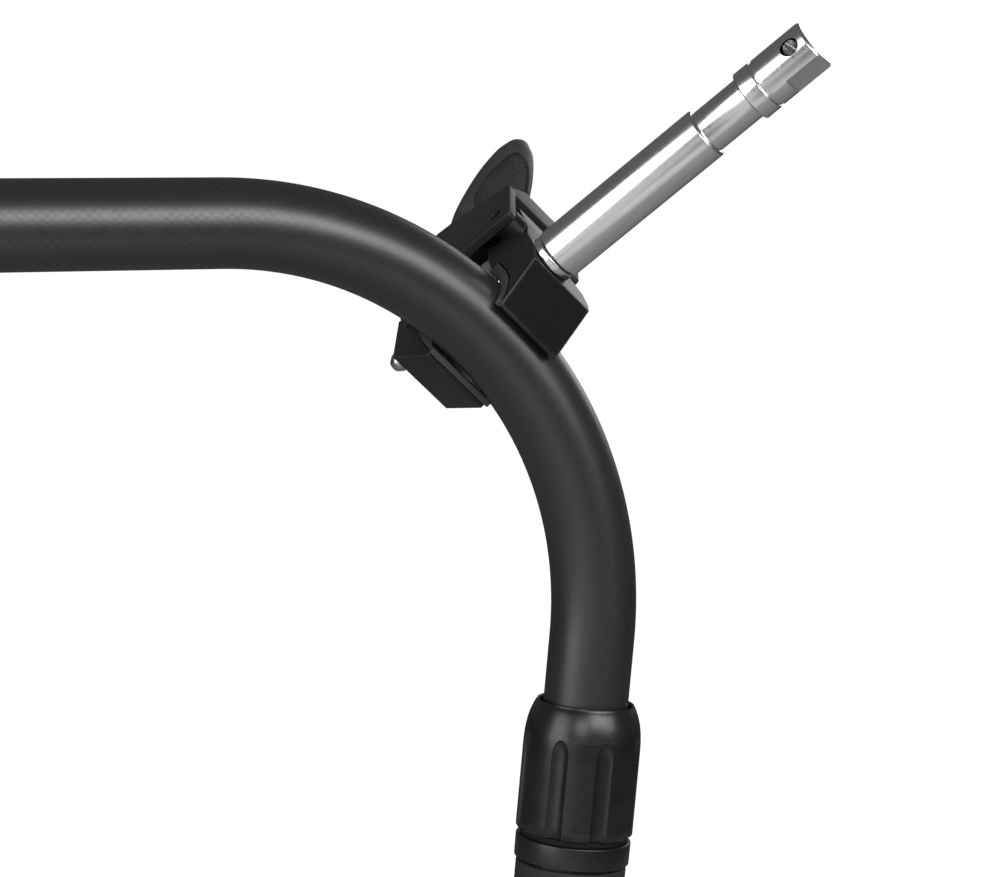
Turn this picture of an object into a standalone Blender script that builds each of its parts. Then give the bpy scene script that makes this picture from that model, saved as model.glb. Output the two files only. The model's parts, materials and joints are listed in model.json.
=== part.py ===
"""Curved boom pole: a grip tube, a bent carbon arm that telescopes out of it, an extending tip, and a
quick-release clamp on the bend that carries a 16 mm stand spigot.

World frame: metres, origin at the centre of the butt cap's bottom face, +Z up the grip's axis, the bend in
the XZ plane with the arm towards -X. Meshes are drawn in millimetres and scaled to metres as they are made.
The clamp is drawn in its own axes: x along the tube, y up the spigot, z out of the clamp's mouth.
"""

import math

import bmesh
import bpy
from mathutils import Matrix, Vector

MM = 0.001
GAP = 0.3            # clearance between touching pieces

# The boom's tubes (radii) and its bend
GRIP_TUBE_R = 15.2
GRIP_TUBE_WALL = 1.3
GRIP_RUBBER_R = 17.0
GRIP_TUBE_TOP = 277.0
GRIP_TOP = 270.0
ARM_R = 13.0
ARM_WALL = 1.7
BEND_R = 117.0
BEND_ANGLE = 95.0
BEND_BOTTOM = 340.0
ARM_BOTTOM = 80.0
ARM_REACH = 300.0
TIP_TUBE_R = 10.8
TIP_TUBE_WALL = 1.2
TIP_TUBE_START = 60.0
TIP_TUBE_END = 362.0

# The twist locks: lengths along the tube, measured from the end of the outer tube
LOCK_COLLAR_LENGTH = 40.0
LOCK_COLLAR_START = 3.0
LOCK_FLANGE_LENGTH = 7.0
LOCK_NECK_LENGTH = 23.0
LOCK_FLUTES = 8
LOCK_FLUTE_DEPTH = 1.2

# The clamp's place on the bend, and its axes in the world
CLAMP_BEND_ANGLE = 49.0
CLAMP_LEAN = 30.0
CLAMP_TURN = 38.0

# The clamp, in its own axes
CHEEK_IN = 13.0
CHEEK_OUT = 16.0
JAW_HALF_WIDTH = 12.0
JAW_PIVOT = (14.4, -43.4)
KNUCKLE_R = 5.4
LEVER_PIVOT = (-10.0, -40.0)
PIN_R = 2.0
PIN_HOLE_R = 2.3
SCREW_PLACES = ((-22.0, -32.0), (-25.0, -50.0))
SCREW_R = 1.5
SCREW_HOLE_R = 1.8
ADJUSTER_W = -40.0
ADJUSTER_R = 2.3
ADJUSTER_HOLE_R = 2.6
WEB_FRONT = -55.6
WEB_BACK = -65.7
PAD_OVERHANG = 0.5   # how far each liner stands past its jaw's sides
SPIGOT_T = -5.0
SPIGOT_W = -9.9
SPIGOT_SEAT = 26.5
SPIGOT_R = 8.0
SPIGOT_TOP = 127.6
CROSS_HOLE_S = 122.1
CROSS_HOLE_R = 2.25
CROSS_HOLE_TURN = 50.0
HEAD_FLAT_TURN = 35.0

MATERIALS = {
    "carbon": ((0.035, 0.036, 0.038), 0.42, 0.0),
    "anodised": ((0.028, 0.028, 0.030), 0.35, 0.6),
    "grip_rubber": ((0.045, 0.045, 0.047), 0.85, 0.0),
    "clamp_black": ((0.030, 0.029, 0.028), 0.45, 0.0),
    "pad_rubber": ((0.020, 0.020, 0.022), 0.70, 0.0),
    "polished_aluminium": ((0.80, 0.80, 0.82), 0.25, 1.0),
    "steel": ((0.62, 0.62, 0.64), 0.30, 1.0),
    "bush_plastic": ((0.10, 0.10, 0.11), 0.55, 0.0),
}


def clear_scene():
    for old in list(bpy.data.objects):
        bpy.data.objects.remove(old, do_unlink=True)


def material(name):
    made = bpy.data.materials.get(name)
    if made:
        return made
    colour, roughness, metallic = MATERIALS[name]
    made = bpy.data.materials.new(name)
    made.use_nodes = True
    shader = made.node_tree.nodes["Principled BSDF"]
    shader.inputs["Base Color"].default_value = (*colour, 1.0)
    shader.inputs["Roughness"].default_value = roughness
    shader.inputs["Metallic"].default_value = metallic
    return made


def add_empty(name, matrix):
    empty = bpy.data.objects.new(name, None)
    bpy.context.scene.collection.objects.link(empty)
    empty.matrix_world = matrix
    return empty


def add_object(name, bm, finish, parent=None, at=(0.0, 0.0, 0.0), smooth=None):
    """Turn a bmesh drawn in millimetres into a named object placed at a point (millimetres) of its parent."""
    bmesh.ops.recalc_face_normals(bm, faces=bm.faces)
    bmesh.ops.translate(bm, verts=bm.verts, vec=-Vector(at))
    bmesh.ops.scale(bm, verts=bm.verts, vec=(MM, MM, MM))
    mesh = bpy.data.meshes.new(name)
    bm.to_mesh(mesh)
    bm.free()
    if smooth is not None:
        mesh.shade_smooth()
        mesh.set_sharp_from_angle(angle=math.radians(smooth))
    made = bpy.data.objects.new(name, mesh)
    made.data.materials.append(material(finish))
    bpy.context.scene.collection.objects.link(made)
    made.parent = parent
    made.location = Vector(at) * MM
    return made


def boolean(target, operation, bm, at=(0.0, 0.0, 0.0)):
    """Cut a tool's shape from the target, or join it on. The tool is drawn in the target's parent's axes."""
    tool = add_object(f"tool_{target.name}_{len(target.modifiers)}", bm, "steel", target.parent, at)
    tool.hide_render = True
    tool.display_type = "WIRE"
    change = target.modifiers.new(operation.title(), "BOOLEAN")
    change.operation = operation
    change.solver = "EXACT"
    change.object = tool


def cut(target, bm):
    boolean(target, "DIFFERENCE", bm)


def join(target, bm):
    boolean(target, "UNION", bm)


def turned(profile, segments, closed=False, radius_at=None):
    """Revolve (radius, z) points about z. A closed profile is a ring; an open one ends on the axis."""
    bm = bmesh.new()
    rings = []
    for index, (radius, z) in enumerate(profile):
        if radius == 0.0:
            rings.append([bm.verts.new((0.0, 0.0, z))])
            continue
        ring = []
        for step in range(segments):
            angle = 2.0 * math.pi * step / segments
            r = radius_at(index, angle, radius, z) if radius_at else radius
            ring.append(bm.verts.new((r * math.cos(angle), r * math.sin(angle), z)))
        rings.append(ring)
    pairs = list(zip(rings, rings[1:]))
    if closed:
        pairs.append((rings[-1], rings[0]))
    for lower, upper in pairs:
        for step in range(segments):
            after = (step + 1) % segments
            corners = [lower[step % len(lower)], lower[after % len(lower)],
                       upper[after % len(upper)], upper[step % len(upper)]]
            bm.faces.new(list(dict.fromkeys(corners)))
    return bm


def pipe(inner, outer, low, high, segments):
    return turned([(inner, low), (outer, low), (outer, high), (inner, high)], segments, closed=True)


def rod(radius, low, high, segments, chamfer=0.0):
    profile = [(0.0, low), (radius - chamfer, low)]
    if chamfer:
        profile += [(radius, low + chamfer), (radius, high - chamfer)]
    profile += [(radius - chamfer, high), (0.0, high)]
    return turned(profile, segments)


def aim(bm, axis, centre):
    """Turn a shape drawn about z so that it lies along axis, and move its origin to centre."""
    turn = Vector((0.0, 0.0, 1.0)).rotation_difference(Vector(axis)).to_matrix()
    bmesh.ops.rotate(bm, verts=bm.verts, cent=(0.0, 0.0, 0.0), matrix=turn)
    bmesh.ops.translate(bm, verts=bm.verts, vec=centre)
    return bm


def cross_rod(radius, place, low, high, segments=20):
    """A rod along the clamp's x axis through a (y, z) place."""
    return aim(rod(radius, low, high, segments), (1.0, 0.0, 0.0), (0.0, place[0], place[1]))


def prism(outline, low, high):
    """Extrude a (y, z) outline along x."""
    bm = bmesh.new()
    near = [bm.verts.new((low, y, z)) for y, z in outline]
    far = [bm.verts.new((high, y, z)) for y, z in outline]
    bm.faces.new(near)
    bm.faces.new(list(reversed(far)))
    for index in range(len(outline)):
        after = (index + 1) % len(outline)
        bm.faces.new((near[after], near[index], far[index], far[after]))
    return bm


def plate(outline, low, high):
    """Extrude an (x, z) outline along y."""
    bm = prism(outline, low, high)
    for vertex in bm.verts:
        vertex.co.xy = vertex.co.yx
    bmesh.ops.reverse_faces(bm, faces=bm.faces)
    return bm


def mirrored(half):
    """Complete a symmetric (x, z) outline from its points on the positive side."""
    return half + [(-x, z) for x, z in reversed(half)]


def block(x, y, z):
    return prism([(y[0], z[0]), (y[1], z[0]), (y[1], z[1]), (y[0], z[1])], x[0], x[1])


def rounded(outline, radius, steps=3):
    """Replace each corner of a closed outline by an arc of up to the given radius."""
    points = []
    count = len(outline)
    for index, corner in enumerate(outline):
        here = Vector(corner)
        before = Vector(outline[index - 1]) - here
        after = Vector(outline[(index + 1) % count]) - here
        half = before.angle(after) / 2.0
        reach = min(radius / math.tan(half), 0.45 * before.length, 0.45 * after.length)
        start = here + before.normalized() * reach
        end = here + after.normalized() * reach
        for step in range(steps + 1):
            t = step / steps
            points.append(start.lerp(here, t).lerp(here.lerp(end, t), t)[:])
    return points


def loft(sections):
    """Skin a list of closed sections, each a list of the same number of points, and cap both ends."""
    bm = bmesh.new()
    rings = [[bm.verts.new(point) for point in section] for section in sections]
    count = len(rings[0])
    for lower, upper in zip(rings, rings[1:]):
        for index in range(count):
            after = (index + 1) % count
            bm.faces.new((lower[index], lower[after], upper[after], upper[index]))
    bm.faces.new(list(reversed(rings[0])))
    bm.faces.new(rings[-1])
    return bm


def bend_point(angle):
    """A point of the bend's centre line: 0 degrees at the top of the straight lower leg."""
    beta = math.radians(angle)
    return Vector((BEND_R * (math.cos(beta) - 1.0), 0.0, BEND_BOTTOM + BEND_R * math.sin(beta)))


def arm_matrix():
    """The arm's axes: origin at the top of the bend, z out along the arm."""
    outward = math.radians(BEND_ANGLE)
    along = Vector((-math.sin(outward), 0.0, math.cos(outward)))
    side = Vector((0.0, 1.0, 0.0))
    up = side.cross(along)
    turn = Matrix((up, side, along)).transposed().to_4x4()
    return Matrix.Translation(bend_point(BEND_ANGLE) * MM) @ turn


def clamp_matrix():
    """The clamp's axes: x along the tube, y up the leaning spigot, z out of the mouth."""
    turn = math.radians(CLAMP_TURN)
    lean = math.radians(CLAMP_LEAN)
    along = Vector((math.cos(turn), 0.0, -math.sin(turn)))
    outward = Vector((math.sin(turn), 0.0, math.cos(turn)))
    front = Vector((0.0, -1.0, 0.0))
    spigot = outward * math.cos(lean) + front * math.sin(lean)
    mouth = front * math.cos(lean) - outward * math.sin(lean)
    axes = Matrix((along, spigot, mouth)).transposed().to_4x4()
    return Matrix.Translation(bend_point(CLAMP_BEND_ANGLE) * MM) @ axes


# ---------------------------------------------------------------- grip

def make_grip():
    inner = GRIP_TUBE_R - GRIP_TUBE_WALL
    add_object("grip_tube", pipe(inner, GRIP_TUBE_R, 4.5, GRIP_TUBE_TOP, 32), "carbon", smooth=30)
    sleeve_in = GRIP_TUBE_R + GAP
    sleeve = [(sleeve_in, 4.5), (GRIP_RUBBER_R, 4.5), (GRIP_RUBBER_R, GRIP_TOP - 1.2),
              (GRIP_RUBBER_R - 0.35, GRIP_TOP - 0.35), (GRIP_RUBBER_R - 1.2, GRIP_TOP), (sleeve_in, GRIP_TOP)]
    add_object("grip_sleeve", turned(sleeve, 32, closed=True), "grip_rubber", smooth=30)
    plug = inner - GAP
    cap = [(0.0, 0.0), (15.5, 0.0), (17.0, 1.5), (17.0, 4.2), (plug, 4.2), (plug, 20.0), (plug - 1.5, 22.0),
           (0.0, 22.0)]
    add_object("butt_cap", turned(cap, 32), "grip_rubber", smooth=30)


# ---------------------------------------------------------------- twist locks

def lock_body(name, tube_end, outer_tube, inner_tube, parent):
    """The threaded sleeve glued over the outer tube's end, with the flange that the collar stops at."""
    flange = inner_tube + 4.75
    glued = outer_tube + 0.2
    bore = inner_tube + GAP
    thread = inner_tube + 2.3
    low = tube_end - LOCK_FLANGE_LENGTH + 1.0
    step = tube_end + 0.3
    top = tube_end + LOCK_NECK_LENGTH
    profile = [(glued, low), (flange, low), (flange, tube_end), (flange - 1.0, tube_end + 1.0),
               (thread, tube_end + 1.0), (thread, top), (bore, top), (bore, step), (glued, step)]
    add_object(name, turned(profile, 32, closed=True), "anodised", parent, smooth=30)


def lock_collar(name, tube_end, inner_tube, parent):
    """The fluted collar: turning it wedges the collet onto the sliding tube."""
    base = tube_end + LOCK_COLLAR_START
    outer = [(5.0, 0.0), (5.0, 22.0), (4.95, 28.5), (4.55, 32.0), (3.4, 36.5), (2.0, LOCK_COLLAR_LENGTH)]
    inner = [(1.2, LOCK_COLLAR_LENGTH), (1.2, 37.5), (1.7, 37.0), (2.6, 21.0), (2.7, 0.0)]
    profile = [(inner_tube + extra, base + z) for extra, z in outer + inner]
    flute_depths = [LOCK_FLUTE_DEPTH, LOCK_FLUTE_DEPTH, 0.35 * LOCK_FLUTE_DEPTH]

    def radius_at(index, angle, radius, z):
        if index >= len(flute_depths):
            return radius
        wave = max(0.0, math.cos(LOCK_FLUTES * angle))
        return radius - flute_depths[index] * math.sqrt(wave)

    add_object(name, turned(profile, 48, closed=True, radius_at=radius_at), "anodised", parent, smooth=40)


def lock_collet(name, tube_end, inner_tube, parent):
    """A tapered ring with one slit, gripped between the collar's cone and the sliding tube."""
    low = tube_end + LOCK_COLLAR_START + 21.5
    high = low + 14.5
    bore = inner_tube + 0.25
    profile = [(bore, low), (inner_tube + 2.3, low), (inner_tube + 1.4, high), (bore, high)]
    collet = add_object(name, turned(profile, 32, closed=True), "bush_plastic", parent, smooth=30)
    cut(collet, block((0.0, inner_tube + 4.0), (-1.0, 1.0), (low - 1.0, high + 1.0)))


def make_locks(arm):
    lock_body("grip_lock_body", GRIP_TUBE_TOP, GRIP_TUBE_R, ARM_R, None)
    lock_collar("grip_lock_collar", GRIP_TUBE_TOP, ARM_R, None)
    lock_collet("grip_lock_collet", GRIP_TUBE_TOP, ARM_R, None)
    lock_body("arm_lock_body", ARM_REACH, ARM_R, TIP_TUBE_R, arm)
    lock_collar("arm_lock_collar", ARM_REACH, TIP_TUBE_R, arm)
    lock_collet("arm_lock_collet", ARM_REACH, TIP_TUBE_R, arm)


# ---------------------------------------------------------------- arm and tip

def make_arm():
    """The bent carbon tube: a straight leg inside the grip, the bend, and the arm."""
    stations = [(Vector((0.0, 0.0, ARM_BOTTOM)), 0.0)]
    bend_steps = 16
    for step in range(bend_steps + 1):
        angle = BEND_ANGLE * step / bend_steps
        stations.append((bend_point(angle), angle))
    end = math.radians(BEND_ANGLE)
    along = Vector((-math.sin(end), 0.0, math.cos(end)))
    stations.append((bend_point(BEND_ANGLE) + along * ARM_REACH, BEND_ANGLE))
    segments = 24

    def ring(centre, angle, radius):
        across = Vector((math.cos(math.radians(angle)), 0.0, math.sin(math.radians(angle))))
        turn = [2.0 * math.pi * step / segments for step in range(segments)]
        return [centre + across * radius * math.cos(a) + Vector((0.0, radius * math.sin(a), 0.0))
                for a in turn]

    bm = bmesh.new()
    skins = []
    for radius in (ARM_R, ARM_R - ARM_WALL):
        skins.append([[bm.verts.new(p) for p in ring(centre, angle, radius)] for centre, angle in stations])
    strips = [(skin[i], skin[i + 1]) for skin in skins for i in range(len(stations) - 1)]
    strips += [(skins[0][0], skins[1][0]), (skins[0][-1], skins[1][-1])]
    for first, second in strips:
        for step in range(segments):
            after = (step + 1) % segments
            bm.faces.new((first[step], first[after], second[after], second[step]))
    add_object("arm_tube", bm, "carbon", smooth=30)

    bush = pipe(ARM_R + 0.15, ARM_R + 0.65, ARM_BOTTOM, ARM_BOTTOM + 15.0, 32)
    add_object("arm_tube_bush", bush, "bush_plastic", smooth=30)


def make_tip(arm):
    """The tube that slides out of the arm, its threaded end fitting and the nut that locks a mount."""
    inner = TIP_TUBE_R - TIP_TUBE_WALL
    tube = pipe(inner, TIP_TUBE_R, TIP_TUBE_START, TIP_TUBE_END, 24)
    add_object("tip_tube", tube, "carbon", arm, smooth=30)
    bush = pipe(TIP_TUBE_R + 0.1, TIP_TUBE_R + 0.32, TIP_TUBE_START, TIP_TUBE_START + 12.0, 24)
    add_object("tip_tube_bush", bush, "bush_plastic", arm, smooth=30)

    plug = inner - GAP
    face = TIP_TUBE_END + 12.0
    head = [(3.6, 340.0), (plug, 340.0), (plug, TIP_TUBE_END + GAP), (TIP_TUBE_R + 0.4, TIP_TUBE_END + GAP),
            (TIP_TUBE_R + 0.9, TIP_TUBE_END + 1.2), (TIP_TUBE_R + 0.9, face - 1.0), (TIP_TUBE_R, face),
            (5.0, face), (5.0, 352.0), (3.6, 352.0)]
    add_object("tip_head", turned(head, 32, closed=True), "polished_aluminium", arm, smooth=30)
    stud = [(0.0, 352.4), (4.7, 352.4), (4.7, face + 13.0), (4.0, face + 14.0), (0.0, face + 14.0)]
    add_object("tip_stud", turned(stud, 24), "steel", arm, smooth=30)
    nut = [(5.0, face + GAP), (10.0, face + GAP), (11.0, face + 1.0), (11.0, face + 4.2), (10.2, face + 5.0),
           (5.0, face + 5.0)]
    add_object("tip_lock_nut", turned(nut, 32, closed=True), "anodised", arm, smooth=30)


# ---------------------------------------------------------------- clamp

def screw_hole(place):
    return cross_rod(SCREW_HOLE_R, place, -20.0, 20.0, 12)


def make_frame(clamp):
    """Two cheeks joined by a web: the channel that carries both jaws and the lever."""
    cheek = [(20.3, -36.6), (-15.0, -37.6), (-18.5, -29.0), (-24.5, -29.0), (-30.0, -38.5), (-30.0, -66.0),
             (-10.0, -66.0), (-4.7, -65.4), (3.7, -63.2), (20.3, -58.0)]
    outline = rounded(cheek, 1.5, 2)
    frame = add_object("clamp_frame", prism(outline, CHEEK_IN, CHEEK_OUT), "clamp_black", clamp)
    web = mirrored([(CHEEK_IN + 0.5, WEB_FRONT), (CHEEK_IN + 0.5, -59.7), (8.0, WEB_BACK)])
    join(frame, plate(web, -1.0, 19.9))
    join(frame, prism(outline, -CHEEK_OUT, -CHEEK_IN))
    cut(frame, cross_rod(PIN_HOLE_R, JAW_PIVOT, -20.0, 20.0))
    slot_ends = (LEVER_PIVOT[0] - 4.5, LEVER_PIVOT[0] + PIN_HOLE_R)
    slot_sides = (LEVER_PIVOT[1] - PIN_HOLE_R, LEVER_PIVOT[1] + PIN_HOLE_R)
    slot = [(slot_ends[0], slot_sides[0]), (slot_ends[1], slot_sides[0]), (slot_ends[1], slot_sides[1]),
            (slot_ends[0], slot_sides[1])]
    cut(frame, prism(rounded(slot, 2.2, 3), -20.0, 20.0))
    for place in SCREW_PLACES:
        cut(frame, screw_hole(place))


def make_pad(name, outline, clamp):
    """A jaw's rubber liner, drawn as the outline of its cross-section."""
    reach = JAW_HALF_WIDTH + PAD_OVERHANG
    add_object(name, prism(outline, -reach, reach), "pad_rubber", clamp)


def make_fixed_jaw(clamp):
    """The lower jaw: a wedge-shaped nose with a narrow lip, and a tail screwed between the cheeks."""
    jaw = [(-9.0, -31.5), (-9.0, -22.0), (-16.0, -18.4), (-20.2, -16.0), (-19.9, -11.5), (-18.9, -6.5),
           (-17.5, -2.2), (-15.9, 3.0), (-15.5, 4.3), (-16.9, 4.5), (-31.4, -13.5), (-29.9, -35.5),
           (-24.4, -35.5), (-24.4, -34.6), (-20.0, -34.6), (-20.0, -31.5)]
    fixed = add_object("fixed_jaw", prism(jaw, -JAW_HALF_WIDTH, JAW_HALF_WIDTH), "clamp_black", clamp)
    tail = CHEEK_IN - GAP
    join(fixed, block((-tail, tail), (-28.3, -24.3), (-45.0, -34.0)))
    for side in (-1.0, 1.0):
        near, far = sorted((side * 8.5, side * tail))
        join(fixed, block((near, far), (-28.2, -20.5), (-54.0, -46.0)))
        join(fixed, block((near, far), (-28.1, -24.4), (-47.0, -44.0)))
        low, high = sorted((side * 11.0, side * tail))
        join(fixed, block((low, high), (-27.0, -20.3), (-34.5, -29.0)))
    for place in SCREW_PLACES:
        cut(fixed, screw_hole(place))
    cut(fixed, aim(rod(ADJUSTER_HOLE_R, -35.0, -20.0, 16), (0.0, 1.0, 0.0), (0.0, 0.0, ADJUSTER_W)))
    pad = [(-11.2, -15.0), (-13.7, -6.5), (-14.6, -1.0), (-14.5, 2.8), (-15.5, 2.6), (-17.2, -2.4),
           (-18.6, -6.6), (-19.6, -11.5), (-19.6, -15.3)]
    make_pad("fixed_jaw_pad", pad, clamp)
    for number, (y, z) in enumerate(SCREW_PLACES * 2):
        side = -1.0 if number < len(SCREW_PLACES) else 1.0
        head = [(0.0, 8.8), (SCREW_R, 8.8), (SCREW_R, CHEEK_OUT + GAP), (2.8, CHEEK_OUT + GAP), (2.8, 17.4),
                (2.2, 18.0), (0.0, 18.0)]
        screw = aim(turned(head, 16), (side, 0.0, 0.0), (0.0, y, z))
        add_object(f"jaw_screw_{number + 1}", screw, "anodised", clamp, smooth=30)


def make_moving_jaw(clamp):
    """The hinged jaw: a wedge-shaped nose, a knuckle on the pivot pin and two prongs for the cam."""
    pivot = (0.0, *JAW_PIVOT)
    nose = [(12.9, 11.3), (26.5, -1.5), (26.5, -9.0), (25.6, -14.0), (24.2, -21.0), (21.8, -26.4),
            (19.3, -29.2), (13.0, -31.8), (7.4, -34.2), (7.8, -26.5), (8.9, -19.5), (12.6, -18.0),
            (15.4, -8.6), (16.5, -2.0), (16.0, 4.0), (13.3, 9.6), (11.8, 10.9)]
    jaw = add_object("moving_jaw", prism(nose, -JAW_HALF_WIDTH, JAW_HALF_WIDTH), "clamp_black", clamp, pivot)
    join(jaw, plate(mirrored([(11.2, -48.6), (7.4, -41.0), (7.4, -30.5)]), 8.6, 19.9))
    join(jaw, cross_rod(KNUCKLE_R, JAW_PIVOT, -12.3, 12.3, 24))
    for side in (-1.0, 1.0):
        near, far = sorted((side * 5.0, side * 9.0))
        prong = [(14.5, -46.2), (-15.0, -47.0), (-15.0, -49.8), (12.5, -49.8), (15.0, -48.0)]
        join(jaw, prism(prong, near, far))
    cut(jaw, cross_rod(PIN_HOLE_R, JAW_PIVOT, -20.0, 20.0))
    cut(jaw, plate([(13.0, -2.5), (5.5, -15.5), (5.5, -33.0), (13.0, -33.0)], 20.0, 30.0))
    cut(jaw, aim(rod(4.3, 17.0, 40.0, 20), (0.0, 1.0, 0.0), (SPIGOT_T, 0.0, SPIGOT_W)))
    pad = [(11.0, 9.1), (13.0, 8.9), (15.5, 3.8), (16.1, -1.9), (15.0, -8.4), (12.2, -17.6), (9.3, -17.2),
           (12.9, -6.0), (13.45, 0.0), (12.9, 5.0)]
    make_pad("moving_jaw_pad", pad, clamp)
    pin = cross_rod(PIN_R, JAW_PIVOT, 0.4 - CHEEK_OUT, CHEEK_OUT - 0.4)
    add_object("jaw_pivot_pin", pin, "steel", clamp, pivot, smooth=30)


def make_spigot(clamp):
    """The stand spigot: 16 mm barrel, waist, collar and a cross-drilled head with one milled flat."""
    seat = (SPIGOT_T, 0.0, SPIGOT_W)
    up = (0.0, 1.0, 0.0)
    washer = pipe(4.4, SPIGOT_R + 0.2, SPIGOT_SEAT + GAP, SPIGOT_SEAT + 2.8, 32)
    add_object("spigot_washer", aim(washer, up, seat), "polished_aluminium", clamp, smooth=30)
    start = SPIGOT_SEAT + 2.8 + GAP
    profile = [(0.0, 17.3), (4.0, 17.3), (4.0, start), (7.7, start), (8.0, start + 0.4), (8.0, 86.6),
               (7.3, 87.3), (6.7, 87.3), (6.7, 103.4), (7.7, 103.4), (8.0, 103.8), (8.0, 108.6),
               (7.5, 109.0), (7.5, 110.0), (7.85, 110.2), (7.85, SPIGOT_TOP - 0.6),
               (7.3, SPIGOT_TOP), (0.0, SPIGOT_TOP)]
    spigot = add_object("spigot", aim(turned(profile, 32), up, seat), "polished_aluminium", clamp, smooth=30)
    across = math.radians(CROSS_HOLE_TURN)
    drill = aim(rod(CROSS_HOLE_R, -12.0, 12.0, 16), (-math.sin(across), 0.0, math.cos(across)),
                (SPIGOT_T, CROSS_HOLE_S, SPIGOT_W))
    cut(spigot, drill)
    facing = Matrix.Rotation(math.radians(HEAD_FLAT_TURN), 3, "Y")
    flat = block((-12.0, 12.0), (115.5, 130.0), (6.65, 14.0))
    bmesh.ops.rotate(flat, verts=flat.verts, cent=(0.0, 0.0, 0.0), matrix=facing)
    bmesh.ops.translate(flat, verts=flat.verts, vec=seat)
    cut(spigot, flat)


def make_lever(clamp):
    """The cam lever: a hub with two eccentric lobes, a neck, and a broad thumb paddle."""
    pivot = (0.0, *LEVER_PIVOT)
    centre_line = [(-10.0, -42.0, 4.5, 3.0), (-10.3, -51.0, 4.5, 3.0), (-10.5, -58.0, 5.5, 3.0),
                   (-10.4, -64.0, 8.2, 3.0), (-9.7, -70.0, 10.8, 3.0), (-8.3, -76.0, 12.1, 3.0),
                   (-6.3, -82.5, 12.5, 3.0), (-1.8, -93.0, 12.2, 3.0), (2.8, -104.0, 11.1, 3.0),
                   (6.2, -112.0, 9.7, 2.9), (8.7, -118.0, 8.3, 2.8), (10.7, -123.0, 6.5, 2.6),
                   (12.3, -127.0, 4.5, 2.2), (13.4, -130.0, 1.8, 1.6)]
    sections = []
    sides = 12
    for index, (y, z, half_width, half_thick) in enumerate(centre_line):
        before = centre_line[max(index - 1, 0)]
        after = centre_line[min(index + 1, len(centre_line) - 1)]
        along = Vector((after[0] - before[0], after[1] - before[1])).normalized()
        section = []
        for step in range(sides):
            angle = 2.0 * math.pi * (step + 0.5) / sides
            across = math.copysign(abs(math.cos(angle)) ** 0.6, math.cos(angle)) * half_width
            rise = math.copysign(abs(math.sin(angle)) ** 0.6, math.sin(angle)) * half_thick
            section.append((across, y - along.y * rise, z + along.x * rise))
        sections.append(section)
    lever = add_object("lever", loft(sections), "clamp_black", clamp, pivot, smooth=35)
    join(lever, cross_rod(7.0, LEVER_PIVOT, -4.6, 4.6, 24))
    lobe_angle = math.radians(50.0)
    lobe = (LEVER_PIVOT[0] - 2.0 * math.sin(lobe_angle), LEVER_PIVOT[1] - 2.0 * math.cos(lobe_angle))
    join(lever, cross_rod(5.4, lobe, -9.0, 9.0, 24))
    cut(lever, cross_rod(PIN_HOLE_R, LEVER_PIVOT, -20.0, 20.0))
    pin = cross_rod(PIN_R, LEVER_PIVOT, 0.4 - CHEEK_OUT, CHEEK_OUT - 0.4)
    add_object("lever_pin", pin, "steel", clamp, pivot, smooth=30)


def make_adjuster(clamp):
    """The yoke that carries the lever, and the screw that draws it along the frame."""
    base = [(-22.0, -35.0), (-17.8, -35.0), (-17.8, -41.2), (-21.5, -45.0), (-22.0, -45.0)]
    yoke = add_object("lever_yoke", prism(base, -12.6, 12.6), "anodised", clamp)
    ear = [(-18.5, -45.0), (-18.5, -35.0), (-8.0, -35.0), (-5.5, -37.5), (-5.5, -42.5), (-8.0, -45.0)]
    for side in (-1.0, 1.0):
        near, far = sorted((side * 9.4, side * 12.6))
        join(yoke, prism(ear, near, far))
    cut(yoke, cross_rod(PIN_HOLE_R, LEVER_PIVOT, -20.0, 20.0))
    cut(yoke, aim(rod(ADJUSTER_HOLE_R, -30.0, -15.0, 16), (0.0, 1.0, 0.0), (0.0, 0.0, ADJUSTER_W)))
    profile = [(0.0, -41.5), (1.6, -41.2), (2.8, -40.0), (3.2, -38.4), (3.2, -30.1), (4.0, -30.1),
               (4.0, -28.6), (ADJUSTER_R, -28.6), (ADJUSTER_R, -20.4), (1.9, -20.0), (0.0, -20.0)]
    screw = aim(turned(profile, 20), (0.0, 1.0, 0.0), (0.0, 0.0, ADJUSTER_W))
    add_object("adjusting_screw", screw, "steel", clamp, (0.0, 0.0, ADJUSTER_W), smooth=30)


def make_spring(clamp):
    """The compression spring that pushes the jaws apart when the cam lets go."""
    low, high, coil, wire = -8.2, 7.2, 2.6, 0.4
    turns, per_turn, sides = 6, 12, 6
    count = turns * per_turn
    sections = []
    for step in range(count + 1):
        angle = 2.0 * math.pi * step / per_turn
        rise = low + wire + (high - low - 2.0 * wire) * step / count
        outward = Vector((math.cos(angle), 0.0, math.sin(angle)))
        centre = outward * coil + Vector((0.0, rise, -26.5))
        section = []
        for side in range(sides):
            around = 2.0 * math.pi * side / sides
            across = outward * math.cos(around) + Vector((0.0, math.sin(around), 0.0))
            section.append(centre + across * wire)
        sections.append(section)
    add_object("jaw_spring", loft(sections), "steel", clamp, smooth=40)


def main():
    clear_scene()
    arm = add_empty("arm_axes", arm_matrix())
    clamp = add_empty("clamp_axes", clamp_matrix())
    make_grip()
    make_arm()
    make_locks(arm)
    make_tip(arm)
    make_frame(clamp)
    make_fixed_jaw(clamp)
    make_moving_jaw(clamp)
    make_spigot(clamp)
    make_lever(clamp)
    make_adjuster(clamp)
    make_spring(clamp)
    bpy.context.view_layer.update()


main()
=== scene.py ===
"""The looks of the curved boom pole: finely shaped pieces that stand for the CAD nodes, procedural
materials, a white studio and a camera. Shapes are drawn in millimetres in the axes of the pole's own
parts (grip, arm, clamp), which come from the frame's joints, and are placed in metres."""
import json
import math

import bmesh
import bpy
from mathutils import Matrix, Vector


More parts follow.
